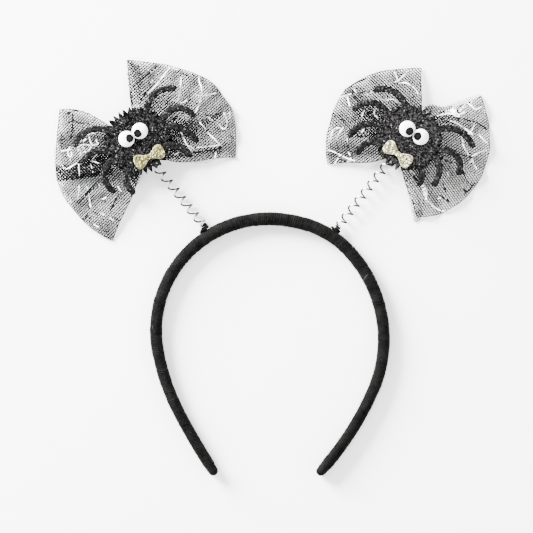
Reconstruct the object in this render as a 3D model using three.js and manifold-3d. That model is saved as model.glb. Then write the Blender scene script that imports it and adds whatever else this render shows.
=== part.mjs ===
// Spider headband, lying flat: a horseshoe hoop wound in ribbed cloth, with two wire springs lashed to it.
// Each spring carries a gathered net bow, a foam spider, a pair of eyes and a bow tie.
// Millimetres. +Z is up from the surface it lies on, +Y points to the crown and +X runs across the head.
import * as THREE from 'three';
import { mergeVertices } from 'three/addons/utils/BufferGeometryUtils.js';
import Module from 'manifold-3d';

const wasm = await Module();
wasm.setup();

// Gap kept between neighbouring pieces
const CLEARANCE = 0.3;

// Hoop: radius at the crown, thickness across the plane at crown and tips, height off the surface
const HOOP_RADIUS = 62;
const CROWN_WIDTH = 6.7;
const TIP_WIDTH = 5.9;
const HOOP_HEIGHT = 6.6;
const HOOP_SIDES = 12;

// Arcs of each arm from the crown to the tip: radius as a share of HOOP_RADIUS, sweep in degrees
const HOOP_ARCS = {
  left: [
    { radius: 0.992, sweep: 101, steps: 19 },
    { radius: 2.016, sweep: 17, steps: 5 },
    { radius: 6.45, sweep: 5, steps: 4 },
  ],
  right: [
    { radius: 1.187, sweep: 17.5, steps: 4 },
    { radius: 0.8145, sweep: 26.8, steps: 5 },
    { radius: 1.142, sweep: 69.9, steps: 13 },
    { radius: 2.714, sweep: 17.6, steps: 7 },
  ],
};

// Rounded tips: distance past the last full section and size there, as shares of half the tip width
const TIP_ROUNDING = [
  { ahead: 0.45, size: 0.89 },
  { ahead: 0.88, size: 0.47 },
];

// Springs: wire, coil radius and pitch of the open turns, and the drawn-in close turns at the foot
const WIRE_DIAMETER = 0.5;
const COIL_RADIUS = 2.15;
const COIL_PITCH = 5.72;
const FOOT_RADIUS = 1.5;
const FOOT_PITCH = 1.3;
const FOOT_TURNS = 2.6;
const COIL_STEPS = 9;

// Lashings: black thread wound between the close turns, and on the left side back over them
const THREAD_DIAMETER = 0.6;
const LASH_TURNS = 2.6;
const LASH_LAYER_GAP = 0.15;

// Net bows: cloth wall, depth of a wing from neck to rim, tallest pleat, and the gathered neck
const CLOTH_WALL = 1;
const WING_REACH = 50;
const PLEAT_HEIGHT = 5;
const NECK_HEIGHT = 5;
const NECK_LENGTH = 6;
const GATHER_WIDTH = 10;
const ROW_STEPS = 2;
const WING_STATIONS = [0.1, 0.22, 0.36, 0.5, 0.64, 0.78, 0.9, 1];

// Band round the neck
const BAND_LENGTH = 5;
const BAND_WALL = 0.8;

// Spider: foam sheet, spiky round body and legs with round ends
const FOAM_THICKNESS = 2;
const BODY_RADIUS = 19.3;
const SPIKE_DEPTH = 2.1;
const SPIKE_COUNT = 36;
const LEG_WIDTH = 2.75;
const LEG_LENGTH = 22;
const LEG_STEPS = 5;

// Eyes, pupils and their pockets
const EYE_RADIUS = 4.7;
const EYE_SPACING = 8.6;
const EYE_EDGE = 1;
const EYE_HEIGHT = 2.4;
const EYE_SIDES = 14;
const PUPIL_RADIUS = 2.1;
const PUPIL_HEIGHT = 1.5;
const PUPIL_INWARD = 1.75;
const PUPIL_DOWN = 0.55;
const POCKET_FLOOR = 1.1;
const PUPIL_SIDES = 10;

// Bow tie: foam plate of two lobes and a knot
const TIE_LENGTH = 18.5;
const TIE_LOBE_HEIGHT = 8.4;
const TIE_KNOT_HEIGHT = 2.8;
const TIE_THICKNESS = 1.5;
const TIE_CURVE_POINTS = 3;

// Where each bow stands: place of the spring's foot round the hoop, its lean off the square line, its reach to the
// middle of the bow and how far the bow sits beside that line. phase is the share of a turn the coil starts at and
// slant the axial run of a turn across the coil. Places of the eyes and tie are shares of BODY_RADIUS and angles
// are in degrees.
const BOWS = {
  left: {
    side: -1, foot: 31.15, lean: 7.65, reach: 61.9, beside: -1.04, tilt: 30, phase: 0.356, slant: 0.2, crossed: true,
    eyes: { across: -0.02, up: 0.222, turn: 1 },
    tie: { across: 0.064, up: -0.53, turn: 4.4 },
  },
  right: {
    side: 1, foot: 33.6, lean: 4.4, reach: 65.2, beside: -0.15, tilt: -36, phase: -0.037, slant: -0.14, crossed: false,
    eyes: { across: 0.057, up: 0.216, turn: 5 },
    tie: { across: 0.034, up: -0.56, turn: -3 },
  },
};

// Legs: place of the root round the body and out from its middle (share of BODY_RADIUS), heading there, length as a
// share of LEG_LENGTH and turn over the length
const LEGS = {
  left: [
    { root: 132, out: 0.9, heading: 115, length: 1.13, turn: 123 },
    { root: 164, out: 1.03, heading: 145, length: 0.63, turn: 75 },
    { root: 188, out: 0.96, heading: 205, length: 0.9, turn: 83 },
    { root: 220, out: 0.94, heading: 223, length: 0.66, turn: 75 },
    { root: 48, out: 0.985, heading: 49, length: 1.03, turn: -95 },
    { root: 16, out: 0.95, heading: 32, length: 1.03, turn: -126 },
    { root: -11, out: 1.12, heading: -18, length: 0.77, turn: -93 },
    { root: -39, out: 0.92, heading: -20, length: 0.655, turn: -77 },
  ],
  right: [
    { root: 131, out: 0.975, heading: 145, length: 1, turn: 94 },
    { root: 163, out: 1.04, heading: 168, length: 0.96, turn: 106 },
    { root: 191, out: 0.97, heading: 201, length: 0.86, turn: 82 },
    { root: 223, out: 0.975, heading: 211, length: 0.573, turn: 84 },
    { root: 52, out: 0.83, heading: 60, length: 1.2, turn: -100 },
    { root: 20, out: 0.95, heading: 37, length: 1.01, turn: -119 },
    { root: -2, out: 0.93, heading: -15, length: 0.83, turn: -84 },
    { root: -35, out: 0.875, heading: 4, length: 0.58, turn: -126 },
  ],
};

// Lines of the cloth from neck to rim, from the top edge of each wing to its bottom edge. angle is in degrees,
// reach and puff (sideways swell) are shares of WING_REACH, lift (at the rim) and crest (two thirds of the way
// out) are shares of PLEAT_HEIGHT. Where the angle runs back, the cloth lies in three layers.
const CLOTH = {
  left: {
    left: [
      { angle: 128.3, reach: 0.924, lift: 0.05, crest: 0.1, puff: -0.08 },
      { angle: 138, reach: 0.893, lift: 0.3, crest: 0.35, puff: -0.04 },
      { angle: 149, reach: 0.893, lift: 0.02, crest: -0.2, puff: 0 },
      { angle: 159, reach: 0.91, lift: 0.33, crest: 0.2, puff: 0 },
      { angle: 168, reach: 0.948, lift: 0.6, crest: 0, puff: 0 },
      { angle: 175, reach: 0.98, lift: 0.6, crest: 0, puff: 0 },
      { angle: 177, reach: 0.985, lift: 0.465, crest: 0, puff: 0 },
      { angle: 175, reach: 0.98, lift: 0.33, crest: 0, puff: 0 },
      { angle: 169, reach: 0.95, lift: 0.33, crest: 0, puff: 0 },
      { angle: 167, reach: 0.946, lift: 0.195, crest: 0, puff: 0 },
      { angle: 169, reach: 0.95, lift: 0.06, crest: 0, puff: 0 },
      { angle: 178, reach: 0.99, lift: 0.06, crest: -0.04, puff: 0 },
      { angle: 188, reach: 1.02, lift: 0.3, crest: 0.35, puff: 0 },
      { angle: 197, reach: 1.035, lift: 0.02, crest: -0.2, puff: 0 },
      { angle: 209, reach: 1.075, lift: 0.3, crest: 0.4, puff: 0.04 },
      { angle: 225.7, reach: 1.13, lift: 0.05, crest: 0.05, puff: 0.085 },
    ],
    right: [
      { angle: 67.7, reach: 0.896, lift: 0.05, crest: 0.1, puff: 0.03 },
      { angle: 58, reach: 0.872, lift: 0.3, crest: 0.35, puff: 0 },
      { angle: 49, reach: 0.872, lift: 0.02, crest: -0.2, puff: 0 },
      { angle: 40, reach: 0.89, lift: 0.28, crest: 0.4, puff: 0 },
      { angle: 32, reach: 0.91, lift: 0.02, crest: -0.15, puff: 0 },
      { angle: 25, reach: 0.94, lift: 0.22, crest: 0.35, puff: 0 },
      { angle: 17, reach: 0.985, lift: 0.04, crest: -0.2, puff: 0 },
      { angle: 10, reach: 1.027, lift: 0.28, crest: 0.36, puff: 0 },
      { angle: 3, reach: 1.045, lift: 0.05, crest: -0.1, puff: 0 },
      { angle: -4, reach: 1.058, lift: 0.1, crest: 0.1, puff: 0 },
      { angle: -9, reach: 1.08, lift: 0.16, crest: 0.15, puff: 0 },
      { angle: -13, reach: 1.088, lift: 0.34, crest: 0.38, puff: -0.02 },
      { angle: -18, reach: 1.086, lift: 0.05, crest: -0.1, puff: -0.04 },
      { angle: -26, reach: 1.078, lift: 0.25, crest: 0.3, puff: -0.07 },
      { angle: -34, reach: 1.076, lift: 0.02, crest: -0.2, puff: -0.1 },
      { angle: -39.8, reach: 1.085, lift: 0.15, crest: 0.1, puff: -0.13 },
    ],
  },
  right: {
    left: [
      { angle: 115, reach: 0.78, lift: 0.1, crest: 0.1, puff: -0.08 },
      { angle: 126.8, reach: 0.76, lift: 0.3, crest: 0.3, puff: -0.04 },
      { angle: 138.4, reach: 0.766, lift: 0.02, crest: -0.2, puff: 0 },
      { angle: 147.4, reach: 0.786, lift: 0.25, crest: 0.3, puff: 0 },
      { angle: 156.8, reach: 0.806, lift: 0.02, crest: -0.1, puff: 0 },
      { angle: 165, reach: 0.825, lift: 0.3, crest: 0.4, puff: 0 },
      { angle: 178, reach: 0.865, lift: 0.02, crest: -0.2, puff: 0 },
      { angle: 188, reach: 0.87, lift: 0.28, crest: 0.4, puff: 0 },
      { angle: 198, reach: 0.87, lift: 0.02, crest: -0.15, puff: 0 },
      { angle: 206, reach: 0.873, lift: 0.1, crest: 0.1, puff: 0.02 },
      { angle: 213, reach: 0.89, lift: 0.25, crest: 0.45, puff: 0.05 },
      { angle: 224, reach: 0.91, lift: 0.02, crest: -0.2, puff: 0.08 },
      { angle: 234.6, reach: 0.928, lift: 0.1, crest: 0.1, puff: 0.125 },
    ],
    right: [
      { angle: 66, reach: 0.924, lift: 0.1, crest: 0.1, puff: 0.1 },
      { angle: 56, reach: 0.902, lift: 0.3, crest: 0.35, puff: 0.06 },
      { angle: 46, reach: 0.9, lift: 0.02, crest: -0.2, puff: 0.03 },
      { angle: 36, reach: 0.892, lift: 0.2, crest: 0.2, puff: 0 },
      { angle: 27, reach: 0.903, lift: 0.28, crest: 0.38, puff: 0 },
      { angle: 17, reach: 0.9, lift: 0.02, crest: -0.2, puff: 0 },
      { angle: 8, reach: 0.908, lift: 0.25, crest: 0.4, puff: 0 },
      { angle: -2, reach: 0.908, lift: 0.02, crest: -0.15, puff: 0 },
      { angle: -11, reach: 0.908, lift: 0.2, crest: 0.3, puff: 0 },
      { angle: -21, reach: 0.904, lift: 0.28, crest: 0.38, puff: -0.02 },
      { angle: -30, reach: 0.905, lift: 0.02, crest: -0.2, puff: -0.04 },
      { angle: -39, reach: 0.89, lift: 0.25, crest: 0.3, puff: -0.06 },
      { angle: -47.9, reach: 0.874, lift: 0.05, crest: 0.1, puff: -0.085 },
    ],
  },
};

// Heights that stack up at the middle of a bow
const BAND_HALF_HEIGHT = CLOTH_WALL / 2 + CLEARANCE + BAND_WALL;
const BAND_HALF_WIDTH = GATHER_WIDTH / 2 + CLEARANCE + BAND_WALL;
const FOAM_BOTTOM = NECK_HEIGHT + BAND_HALF_HEIGHT + CLEARANCE;
const TRIM_BOTTOM = FOAM_BOTTOM + FOAM_THICKNESS + CLEARANCE;
const SPRING_TOP = FOAM_BOTTOM - CLEARANCE - COIL_RADIUS - WIRE_DIAMETER / 2;

const material = (color, roughness, metalness = 0) =>
  new THREE.MeshStandardMaterial({ color, roughness, metalness });

const MATERIALS = {
  hoopCloth: material(0x1f1f21, 0.95),
  thread: material(0x141416, 0.9),
  wire: material(0xb9bcc0, 0.3, 1),
  net: material(0x1b1b1e, 0.85),
  band: material(0x161618, 0.8),
  foam: material(0x202024, 0.75),
  eyeWhite: material(0xf6f5f1, 0.15),
  pupil: material(0x0e0e10, 0.12),
  gold: material(0xc9bb7c, 0.5, 0.4),
};

const radians = THREE.MathUtils.degToRad;
const smooth = THREE.MathUtils.smoothstep;
const mix = THREE.MathUtils.lerp;

function named(name, geometry, finish) {
  const mesh = new THREE.Mesh(geometry, finish);
  mesh.name = name;
  return mesh;
}

// Volume inside a closed triangle mesh, negative where its faces point inwards
function signedVolume(points, triangles) {
  let sum = 0;
  for (const [a, b, c] of triangles) {
    sum += points[a].dot(new THREE.Vector3().crossVectors(points[b], points[c])) / 6;
  }
  return sum;
}

// Geometry of a closed body from its points and triangles, with its faces pointing out
function closedBody(points, triangles) {
  const turn = signedVolume(points, triangles) < 0;
  const geometry = new THREE.BufferGeometry().setFromPoints(points);
  geometry.setIndex(triangles.flatMap(([a, b, c]) => (turn ? [a, c, b] : [a, b, c])));
  return geometry;
}

// Skin over a row of closed rings of equal length, with a flat fan over each end
function loft(rings) {
  const count = rings[0].length;
  const points = rings.flat();
  const triangles = [];
  for (let r = 0; r < rings.length - 1; r += 1) {
    for (let k = 0; k < count; k += 1) {
      const a = r * count + k;
      const b = r * count + ((k + 1) % count);
      triangles.push([a, b, b + count], [a, b + count, a + count]);
    }
  }
  const last = (rings.length - 1) * count;
  for (let k = 1; k < count - 1; k += 1) {
    triangles.push([0, k + 1, k], [last, last + k, last + k + 1]);
  }
  return closedBody(points, triangles);
}

// Solid for cutting and joining, from a closed geometry
function solidOf(geometry) {
  const bare = geometry.clone();
  bare.deleteAttribute('normal');
  bare.deleteAttribute('uv');
  const merged = mergeVertices(bare);
  const vertProperties = new Float32Array(merged.attributes.position.array);
  const triVerts = new Uint32Array(merged.index.array);
  return new wasm.Manifold(new wasm.Mesh({ numProp: 3, vertProperties, triVerts }));
}

// Geometry of a cut or joined solid
function geometryOf(solid) {
  const mesh = solid.getMesh();
  const geometry = new THREE.BufferGeometry();
  geometry.setAttribute('position', new THREE.BufferAttribute(mesh.vertProperties, 3));
  geometry.setIndex(new THREE.BufferAttribute(mesh.triVerts, 1));
  return geometry;
}

function polygonShape(points) {
  return new THREE.Shape(points.map(([x, y]) => new THREE.Vector2(x, y)));
}

// Round section of a wire or thread
function roundSection(diameter, sides) {
  const corners = Array.from({ length: sides }, (unused, k) => {
    const a = (2 * Math.PI * k) / sides;
    return [(diameter / 2) * Math.cos(a), (diameter / 2) * Math.sin(a)];
  });
  return polygonShape(corners);
}

// Stations along one arm, from the crown at the origin to the tip. heading is the angle turned down from level.
function armStations(arm, side) {
  const stations = [{ x: 0, y: 0, heading: 0, length: 0, side }];
  let start = stations[0];
  for (const arc of HOOP_ARCS[arm]) {
    const radius = arc.radius * HOOP_RADIUS;
    for (let i = 1; i <= arc.steps; i += 1) {
      const turn = (radians(arc.sweep) * i) / arc.steps;
      const heading = start.heading + turn;
      stations.push({
        x: start.x + side * radius * (Math.sin(heading) - Math.sin(start.heading)),
        y: start.y - radius * (Math.cos(start.heading) - Math.cos(heading)),
        heading,
        length: start.length + radius * turn,
        side,
      });
    }
    start = stations.at(-1);
  }
  return stations;
}

const outwards = (station) => new THREE.Vector2(station.side * Math.sin(station.heading), Math.cos(station.heading));
const onwards = (station) => new THREE.Vector2(station.side * Math.cos(station.heading), -Math.sin(station.heading));

// Closed section of the wound hoop at a station: flat underneath and on both sides
function hoopRing(station, width, size = 1, ahead = 0) {
  const out = outwards(station);
  const centre = new THREE.Vector2(station.x, station.y).addScaledVector(onwards(station), ahead);
  const flat = 1 / Math.cos(Math.PI / HOOP_SIDES);
  return Array.from({ length: HOOP_SIDES }, (unused, k) => {
    const a = (2 * Math.PI * (k + 0.5)) / HOOP_SIDES;
    const across = (width / 2) * size * flat * Math.cos(a);
    const up = (HOOP_HEIGHT / 2) * size * flat * Math.sin(a);
    return new THREE.Vector3(centre.x + out.x * across, centre.y + out.y * across, HOOP_HEIGHT / 2 + up);
  });
}

function armRings(arm, side) {
  const stations = armStations(arm, side);
  const end = stations.at(-1);
  const rings = stations.map((s) => hoopRing(s, mix(CROWN_WIDTH, TIP_WIDTH, s.length / end.length)));
  for (const { ahead, size } of TIP_ROUNDING) {
    rings.push(hoopRing(end, TIP_WIDTH, size, (ahead * TIP_WIDTH) / 2));
  }
  return rings;
}

function headband() {
  const rings = [...armRings('left', -1).reverse(), ...armRings('right', 1).slice(1)];
  return named('headband', loft(rings), MATERIALS.hoopCloth);
}

// Point of an arm where its heading reaches a number of degrees
function armPoint(arm, side, degrees) {
  let left = degrees;
  let heading = 0;
  const point = new THREE.Vector2();
  for (const arc of HOOP_ARCS[arm]) {
    const radius = arc.radius * HOOP_RADIUS;
    const next = heading + radians(Math.min(left, arc.sweep));
    point.x += side * radius * (Math.sin(next) - Math.sin(heading));
    point.y -= radius * (Math.cos(heading) - Math.cos(next));
    left = Math.max(0, left - arc.sweep);
    heading = next;
  }
  return point;
}

// Line of a spring: start of its axis just off the hoop, direction, run to the middle of the bow and that middle
function springLine(arm, bow) {
  const out = outwards({ side: bow.side, heading: radians(bow.foot) });
  const aim = out.clone().rotateAround(new THREE.Vector2(), radians(-bow.side * bow.lean));
  const surface = armPoint(arm, bow.side, bow.foot).addScaledVector(out, CROWN_WIDTH / 2);
  const standoff = CLEARANCE + THREAD_DIAMETER / 2;
  const start = surface.clone().addScaledVector(aim, standoff);
  const beside = new THREE.Vector2(-aim.y, aim.x);
  const middle = surface.addScaledVector(aim, bow.reach).addScaledVector(beside, bow.beside);
  return { start, aim, run: bow.reach - standoff, middle };
}

// Axis of a spring in space, from its foot to the band round the neck of the bow
function springAxis(arm, bow) {
  const { start, aim, run } = springLine(arm, bow);
  const stop = run - BAND_HALF_WIDTH - CLEARANCE - WIRE_DIAMETER / 2;
  const end = start.clone().addScaledVector(aim, stop);
  const from = new THREE.Vector3(start.x, start.y, HOOP_HEIGHT / 2);
  const to = new THREE.Vector3(end.x, end.y, SPRING_TOP);
  const axis = to.clone().sub(from);
  const length = axis.length();
  axis.normalize();
  const level = new THREE.Vector3(0, 0, 1).cross(axis).normalize();
  const upright = new THREE.Vector3().crossVectors(axis, level);
  return { from, axis, level, upright, length };
}

// Curve wound round an axis: rise, radius and slant are functions of the turn number and phase is a share of a turn
class Winding extends THREE.Curve {
  constructor(line, turns, rise, radius, phase, slant = () => 0) {
    super();
    Object.assign(this, { line, turns, rise, radius, phase, slant });
  }

  getPoint(share, target = new THREE.Vector3()) {
    const turn = share * this.turns;
    const a = 2 * Math.PI * (turn + this.phase);
    const across = this.radius(turn) * Math.cos(a);
    return target.copy(this.line.from)
      .addScaledVector(this.line.axis, this.rise(turn) + this.slant(turn) * across)
      .addScaledVector(this.line.level, across)
      .addScaledVector(this.line.upright, this.radius(turn) * Math.sin(a));
  }
}

function wound(curve, diameter, sides, stepsPerTurn) {
  const steps = Math.round(curve.turns * stepsPerTurn);
  curve.arcLengthDivisions = steps * 4;
  return new THREE.ExtrudeGeometry(roundSection(diameter, sides), { steps, extrudePath: curve, bevelEnabled: false });
}

// Wire spring: close turns at the foot, then open turns up to a drawn-in end at the neck band
function spring(label, bow) {
  const line = springAxis(label, bow);
  const footRise = FOOT_TURNS * FOOT_PITCH;
  const easing = (FOOT_PITCH + COIL_PITCH) / 2;
  const openTurns = (line.length - footRise - easing) / COIL_PITCH;
  const turns = FOOT_TURNS + 1 + openTurns;
  const rise = (turn) => {
    const eased = THREE.MathUtils.clamp(turn - FOOT_TURNS, 0, 1);
    const open = Math.max(0, turn - FOOT_TURNS - 1);
    const close = Math.min(turn, FOOT_TURNS) * FOOT_PITCH;
    return close + FOOT_PITCH * eased + ((COIL_PITCH - FOOT_PITCH) * eased * eased) / 2 + COIL_PITCH * open;
  };
  const opening = (turn) => smooth(turn, FOOT_TURNS - 0.4, FOOT_TURNS + 0.8);
  const closing = (turn) => 1 - smooth(turn, turns - 1, turns);
  const spread = (turn) => opening(turn) * closing(turn);
  const radius = (turn) => mix(FOOT_RADIUS, COIL_RADIUS, spread(turn));
  const slant = (turn) => bow.slant * spread(turn);
  const curve = new Winding(line, turns, rise, radius, bow.phase, slant);
  return named(`spring_${label}`, wound(curve, WIRE_DIAMETER, 5, COIL_STEPS), MATERIALS.wire);
}

// Black thread between the close turns of a spring; where it is crossed it runs back down over itself
function lashing(label, bow) {
  const line = springAxis(label, bow);
  const turns = bow.crossed ? 2 * LASH_TURNS : LASH_TURNS;
  const outer = FOOT_RADIUS + THREAD_DIAMETER + LASH_LAYER_GAP;
  const rise = (turn) => FOOT_PITCH * (turn < LASH_TURNS ? turn : 2 * LASH_TURNS - turn);
  const radius = (turn) => mix(FOOT_RADIUS, outer, smooth(turn, LASH_TURNS - 0.35, LASH_TURNS + 0.15));
  const curve = new Winding(line, turns, rise, radius, bow.phase + 0.5);
  return named(`lashing_${label}`, wound(curve, THREAD_DIAMETER, 5, COIL_STEPS), MATERIALS.thread);
}

// Value between four neighbours on a smooth line through the middle two
function between(a, b, c, d, t) {
  return b + 0.5 * t * (c - a + t * (2 * a - 5 * b + 4 * c - d + t * (3 * (b - c) + d - a)));
}

// Cloth lines of a wing with smooth ones put in between the rows of its table
function clothLines(rows) {
  const lines = [];
  const last = rows.length - 1;
  const at = (i) => rows[THREE.MathUtils.clamp(i, 0, last)];
  for (let i = 0; i < last; i += 1) {
    for (let k = 0; k < ROW_STEPS; k += 1) {
      const line = { share: (i + k / ROW_STEPS) / last };
      for (const key of ['angle', 'reach', 'lift', 'crest', 'puff']) {
        line[key] = between(at(i - 1)[key], at(i)[key], at(i + 1)[key], at(i + 2)[key], k / ROW_STEPS);
      }
      lines.push(line);
    }
  }
  lines.push({ ...rows[last], share: 1 });
  return lines;
}

// Point on the middle of the cloth: s runs from the neck, 0, to the rim, 1, along one line of a wing
function clothPoint(line, side, s) {
  const root = new THREE.Vector2((side * NECK_LENGTH) / 2, GATHER_WIDTH * (0.5 - line.share));
  const a = radians(line.angle);
  const rim = new THREE.Vector2(Math.cos(a), Math.sin(a)).multiplyScalar(line.reach * WING_REACH);
  const run = rim.clone().sub(root);
  const beside = new THREE.Vector2(-run.y, run.x).normalize();
  const swell = line.puff * WING_REACH * 6.75 * s * (1 - s) ** 2;
  const place = root.addScaledVector(run, s).addScaledVector(beside, swell);
  const base = mix(NECK_HEIGHT, CLOTH_WALL / 2, s);
  const lift = line.lift * PLEAT_HEIGHT * (1 - (1 - s) ** 4);
  const crest = line.crest * PLEAT_HEIGHT * 6.75 * s * s * (1 - s);
  return new THREE.Vector3(place.x, place.y, Math.max(base + lift + crest, CLOTH_WALL / 2));
}

// Square of net gathered at the middle: rim of the left wing, neck, rim of the right wing
function clothGrid(tables) {
  const leftLines = clothLines(tables.left);
  const rightLines = clothLines(tables.right);
  return leftLines.map((left, i) => [
    ...[...WING_STATIONS].reverse().map((s) => clothPoint(left, -1, s)),
    clothPoint(left, -1, 0),
    clothPoint(rightLines[i], 1, 0),
    ...WING_STATIONS.map((s) => clothPoint(rightLines[i], 1, s)),
  ]);
}

// Wall of even thickness either side of a grid of points
function clothWall(grid, wall) {
  const rows = grid.length;
  const columns = grid[0].length;
  const at = (i, j) => grid[THREE.MathUtils.clamp(i, 0, rows - 1)][THREE.MathUtils.clamp(j, 0, columns - 1)];
  const points = [];
  for (const half of [wall / 2, -wall / 2]) {
    for (let i = 0; i < rows; i += 1) {
      for (let j = 0; j < columns; j += 1) {
        const across = at(i + 1, j).clone().sub(at(i - 1, j));
        const along = at(i, j + 1).clone().sub(at(i, j - 1));
        const normal = across.cross(along).normalize();
        points.push(at(i, j).clone().addScaledVector(normal, half));
      }
    }
  }
  const index = (face, i, j) => (face * rows + i) * columns + j;
  const triangles = [];
  const quad = (a, b, c, d) => triangles.push([a, b, c], [a, c, d]);
  for (let i = 0; i < rows - 1; i += 1) {
    for (let j = 0; j < columns - 1; j += 1) {
      quad(index(0, i, j), index(0, i + 1, j), index(0, i + 1, j + 1), index(0, i, j + 1));
      quad(index(1, i, j), index(1, i, j + 1), index(1, i + 1, j + 1), index(1, i + 1, j));
    }
  }
  for (let j = 0; j < columns - 1; j += 1) {
    quad(index(0, 0, j), index(0, 0, j + 1), index(1, 0, j + 1), index(1, 0, j));
    quad(index(0, rows - 1, j + 1), index(0, rows - 1, j), index(1, rows - 1, j), index(1, rows - 1, j + 1));
  }
  for (let i = 0; i < rows - 1; i += 1) {
    quad(index(0, i + 1, 0), index(0, i, 0), index(1, i, 0), index(1, i + 1, 0));
    quad(index(0, i, columns - 1), index(0, i + 1, columns - 1), index(1, i + 1, columns - 1), index(1, i, columns - 1));
  }
  return closedBody(points, triangles);
}

function netBow(name, tables) {
  return named(name, clothWall(clothGrid(tables), CLOTH_WALL), MATERIALS.net);
}

// Flat band round the gathered neck, open along the bow's length
function neckBand(name) {
  const rectangle = (x, y) => [[-x, -y], [x, -y], [x, y], [-x, y]];
  const shape = polygonShape(rectangle(BAND_HALF_WIDTH, BAND_HALF_HEIGHT));
  const inner = rectangle(BAND_HALF_WIDTH - BAND_WALL, BAND_HALF_HEIGHT - BAND_WALL);
  shape.holes.push(new THREE.Path(inner.map(([x, y]) => new THREE.Vector2(x, y))));
  const geometry = new THREE.ExtrudeGeometry(shape, { depth: BAND_LENGTH, bevelEnabled: false });
  geometry.translate(0, 0, -BAND_LENGTH / 2);
  geometry.rotateX(Math.PI / 2);
  geometry.rotateZ(Math.PI / 2);
  const mesh = named(name, geometry, MATERIALS.band);
  mesh.position.z = NECK_HEIGHT;
  return mesh;
}

// Outline of one leg: an arc of even width from inside the body to a round end
function legShape(leg) {
  const half = LEG_WIDTH / 2;
  const length = leg.length * LEG_LENGTH;
  const turn = radians(leg.turn);
  const root = radians(leg.root);
  const place = new THREE.Vector2(Math.cos(root), Math.sin(root)).multiplyScalar(leg.out * BODY_RADIUS);
  const heading = (share) => radians(leg.heading) + turn * share;
  const at = (share) => {
    const radius = length / turn;
    return new THREE.Vector2(
      place.x + radius * (Math.sin(heading(share)) - Math.sin(heading(0))),
      place.y - radius * (Math.cos(heading(share)) - Math.cos(heading(0))),
    );
  };
  const beside = (share, offset) => {
    const h = heading(share);
    const p = at(share);
    return [p.x - offset * Math.sin(h), p.y + offset * Math.cos(h)];
  };
  const inside = place.clone().multiplyScalar(1 - (2 * LEG_WIDTH) / BODY_RADIUS);
  const normal = [-Math.sin(heading(0)) * half, Math.cos(heading(0)) * half];
  const outline = [[inside.x + normal[0], inside.y + normal[1]], [inside.x - normal[0], inside.y - normal[1]]];
  const tipStart = 1 - half / length;
  for (let i = 0; i <= LEG_STEPS; i += 1) outline.push(beside((tipStart * i) / LEG_STEPS, -half));
  const tip = at(tipStart);
  for (const degrees of [-45, 0, 45]) {
    const a = heading(tipStart) + radians(degrees);
    outline.push([tip.x + half * Math.cos(a), tip.y + half * Math.sin(a)]);
  }
  for (let i = LEG_STEPS; i >= 0; i -= 1) outline.push(beside((tipStart * i) / LEG_STEPS, half));
  return polygonShape(outline);
}

// Round body with a saw edge of spikes
function bodyShape() {
  const outline = [];
  for (let k = 0; k < SPIKE_COUNT * 2; k += 1) {
    const a = (Math.PI * k) / SPIKE_COUNT;
    const radius = k % 2 === 0 ? BODY_RADIUS : BODY_RADIUS - SPIKE_DEPTH;
    outline.push([radius * Math.cos(a), radius * Math.sin(a)]);
  }
  return polygonShape(outline);
}

const plate = (shape, depth) => new THREE.ExtrudeGeometry(shape, { depth, bevelEnabled: false });

// Die-cut foam spider: body and legs in one piece
function spider(name, legs) {
  let solid = solidOf(plate(bodyShape(), FOAM_THICKNESS));
  for (const leg of legs) solid = solid.add(solidOf(plate(legShape(leg), FOAM_THICKNESS)));
  const mesh = named(name, geometryOf(solid), MATERIALS.foam);
  mesh.position.z = FOAM_BOTTOM;
  return mesh;
}

// Low dome on a straight edge
function dome(radius, edge, height, sides) {
  const profile = [[0, 0], [radius, 0], [radius, edge], [radius * 0.72, mix(edge, height, 0.72)], [0, height]];
  const geometry = new THREE.LatheGeometry(profile.map(([x, y]) => new THREE.Vector2(x, y)), sides);
  return geometry.rotateX(Math.PI / 2);
}

const pupilPlaces = () => [-1, 1].map((side) => [side * (EYE_SPACING / 2 - PUPIL_INWARD), -PUPIL_DOWN]);

// Two white domes joined side by side, with a pocket in each for its pupil
function eyePair(name) {
  let solid = null;
  for (const side of [-1, 1]) {
    const ball = solidOf(dome(EYE_RADIUS, EYE_EDGE, EYE_HEIGHT, EYE_SIDES).translate((side * EYE_SPACING) / 2, 0, 0));
    solid = solid ? solid.add(ball) : ball;
  }
  for (const [x, y] of pupilPlaces()) {
    const cutter = new THREE.CylinderGeometry(
      PUPIL_RADIUS + CLEARANCE / 2, PUPIL_RADIUS + CLEARANCE / 2, EYE_HEIGHT, PUPIL_SIDES,
    );
    cutter.rotateX(Math.PI / 2).translate(x, y, POCKET_FLOOR + EYE_HEIGHT / 2);
    solid = solid.subtract(solidOf(cutter));
  }
  return named(name, geometryOf(solid), MATERIALS.eyeWhite);
}

// Eyes and pupils of one spider as a group, standing on the foam
function eyes(label, place) {
  const group = new THREE.Group();
  group.add(eyePair(`eyes_${label}`));
  pupilPlaces().forEach(([x, y], k) => {
    const edge = PUPIL_HEIGHT * 0.6;
    const pupil = named(`pupil_${label}_${'ab'[k]}`, dome(PUPIL_RADIUS, edge, PUPIL_HEIGHT, PUPIL_SIDES), MATERIALS.pupil);
    pupil.position.set(x, y, POCKET_FLOOR + CLEARANCE / 2);
    group.add(pupil);
  });
  group.position.set(place.across * BODY_RADIUS, place.up * BODY_RADIUS, TRIM_BOTTOM);
  group.rotation.z = radians(place.turn);
  return group;
}

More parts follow.
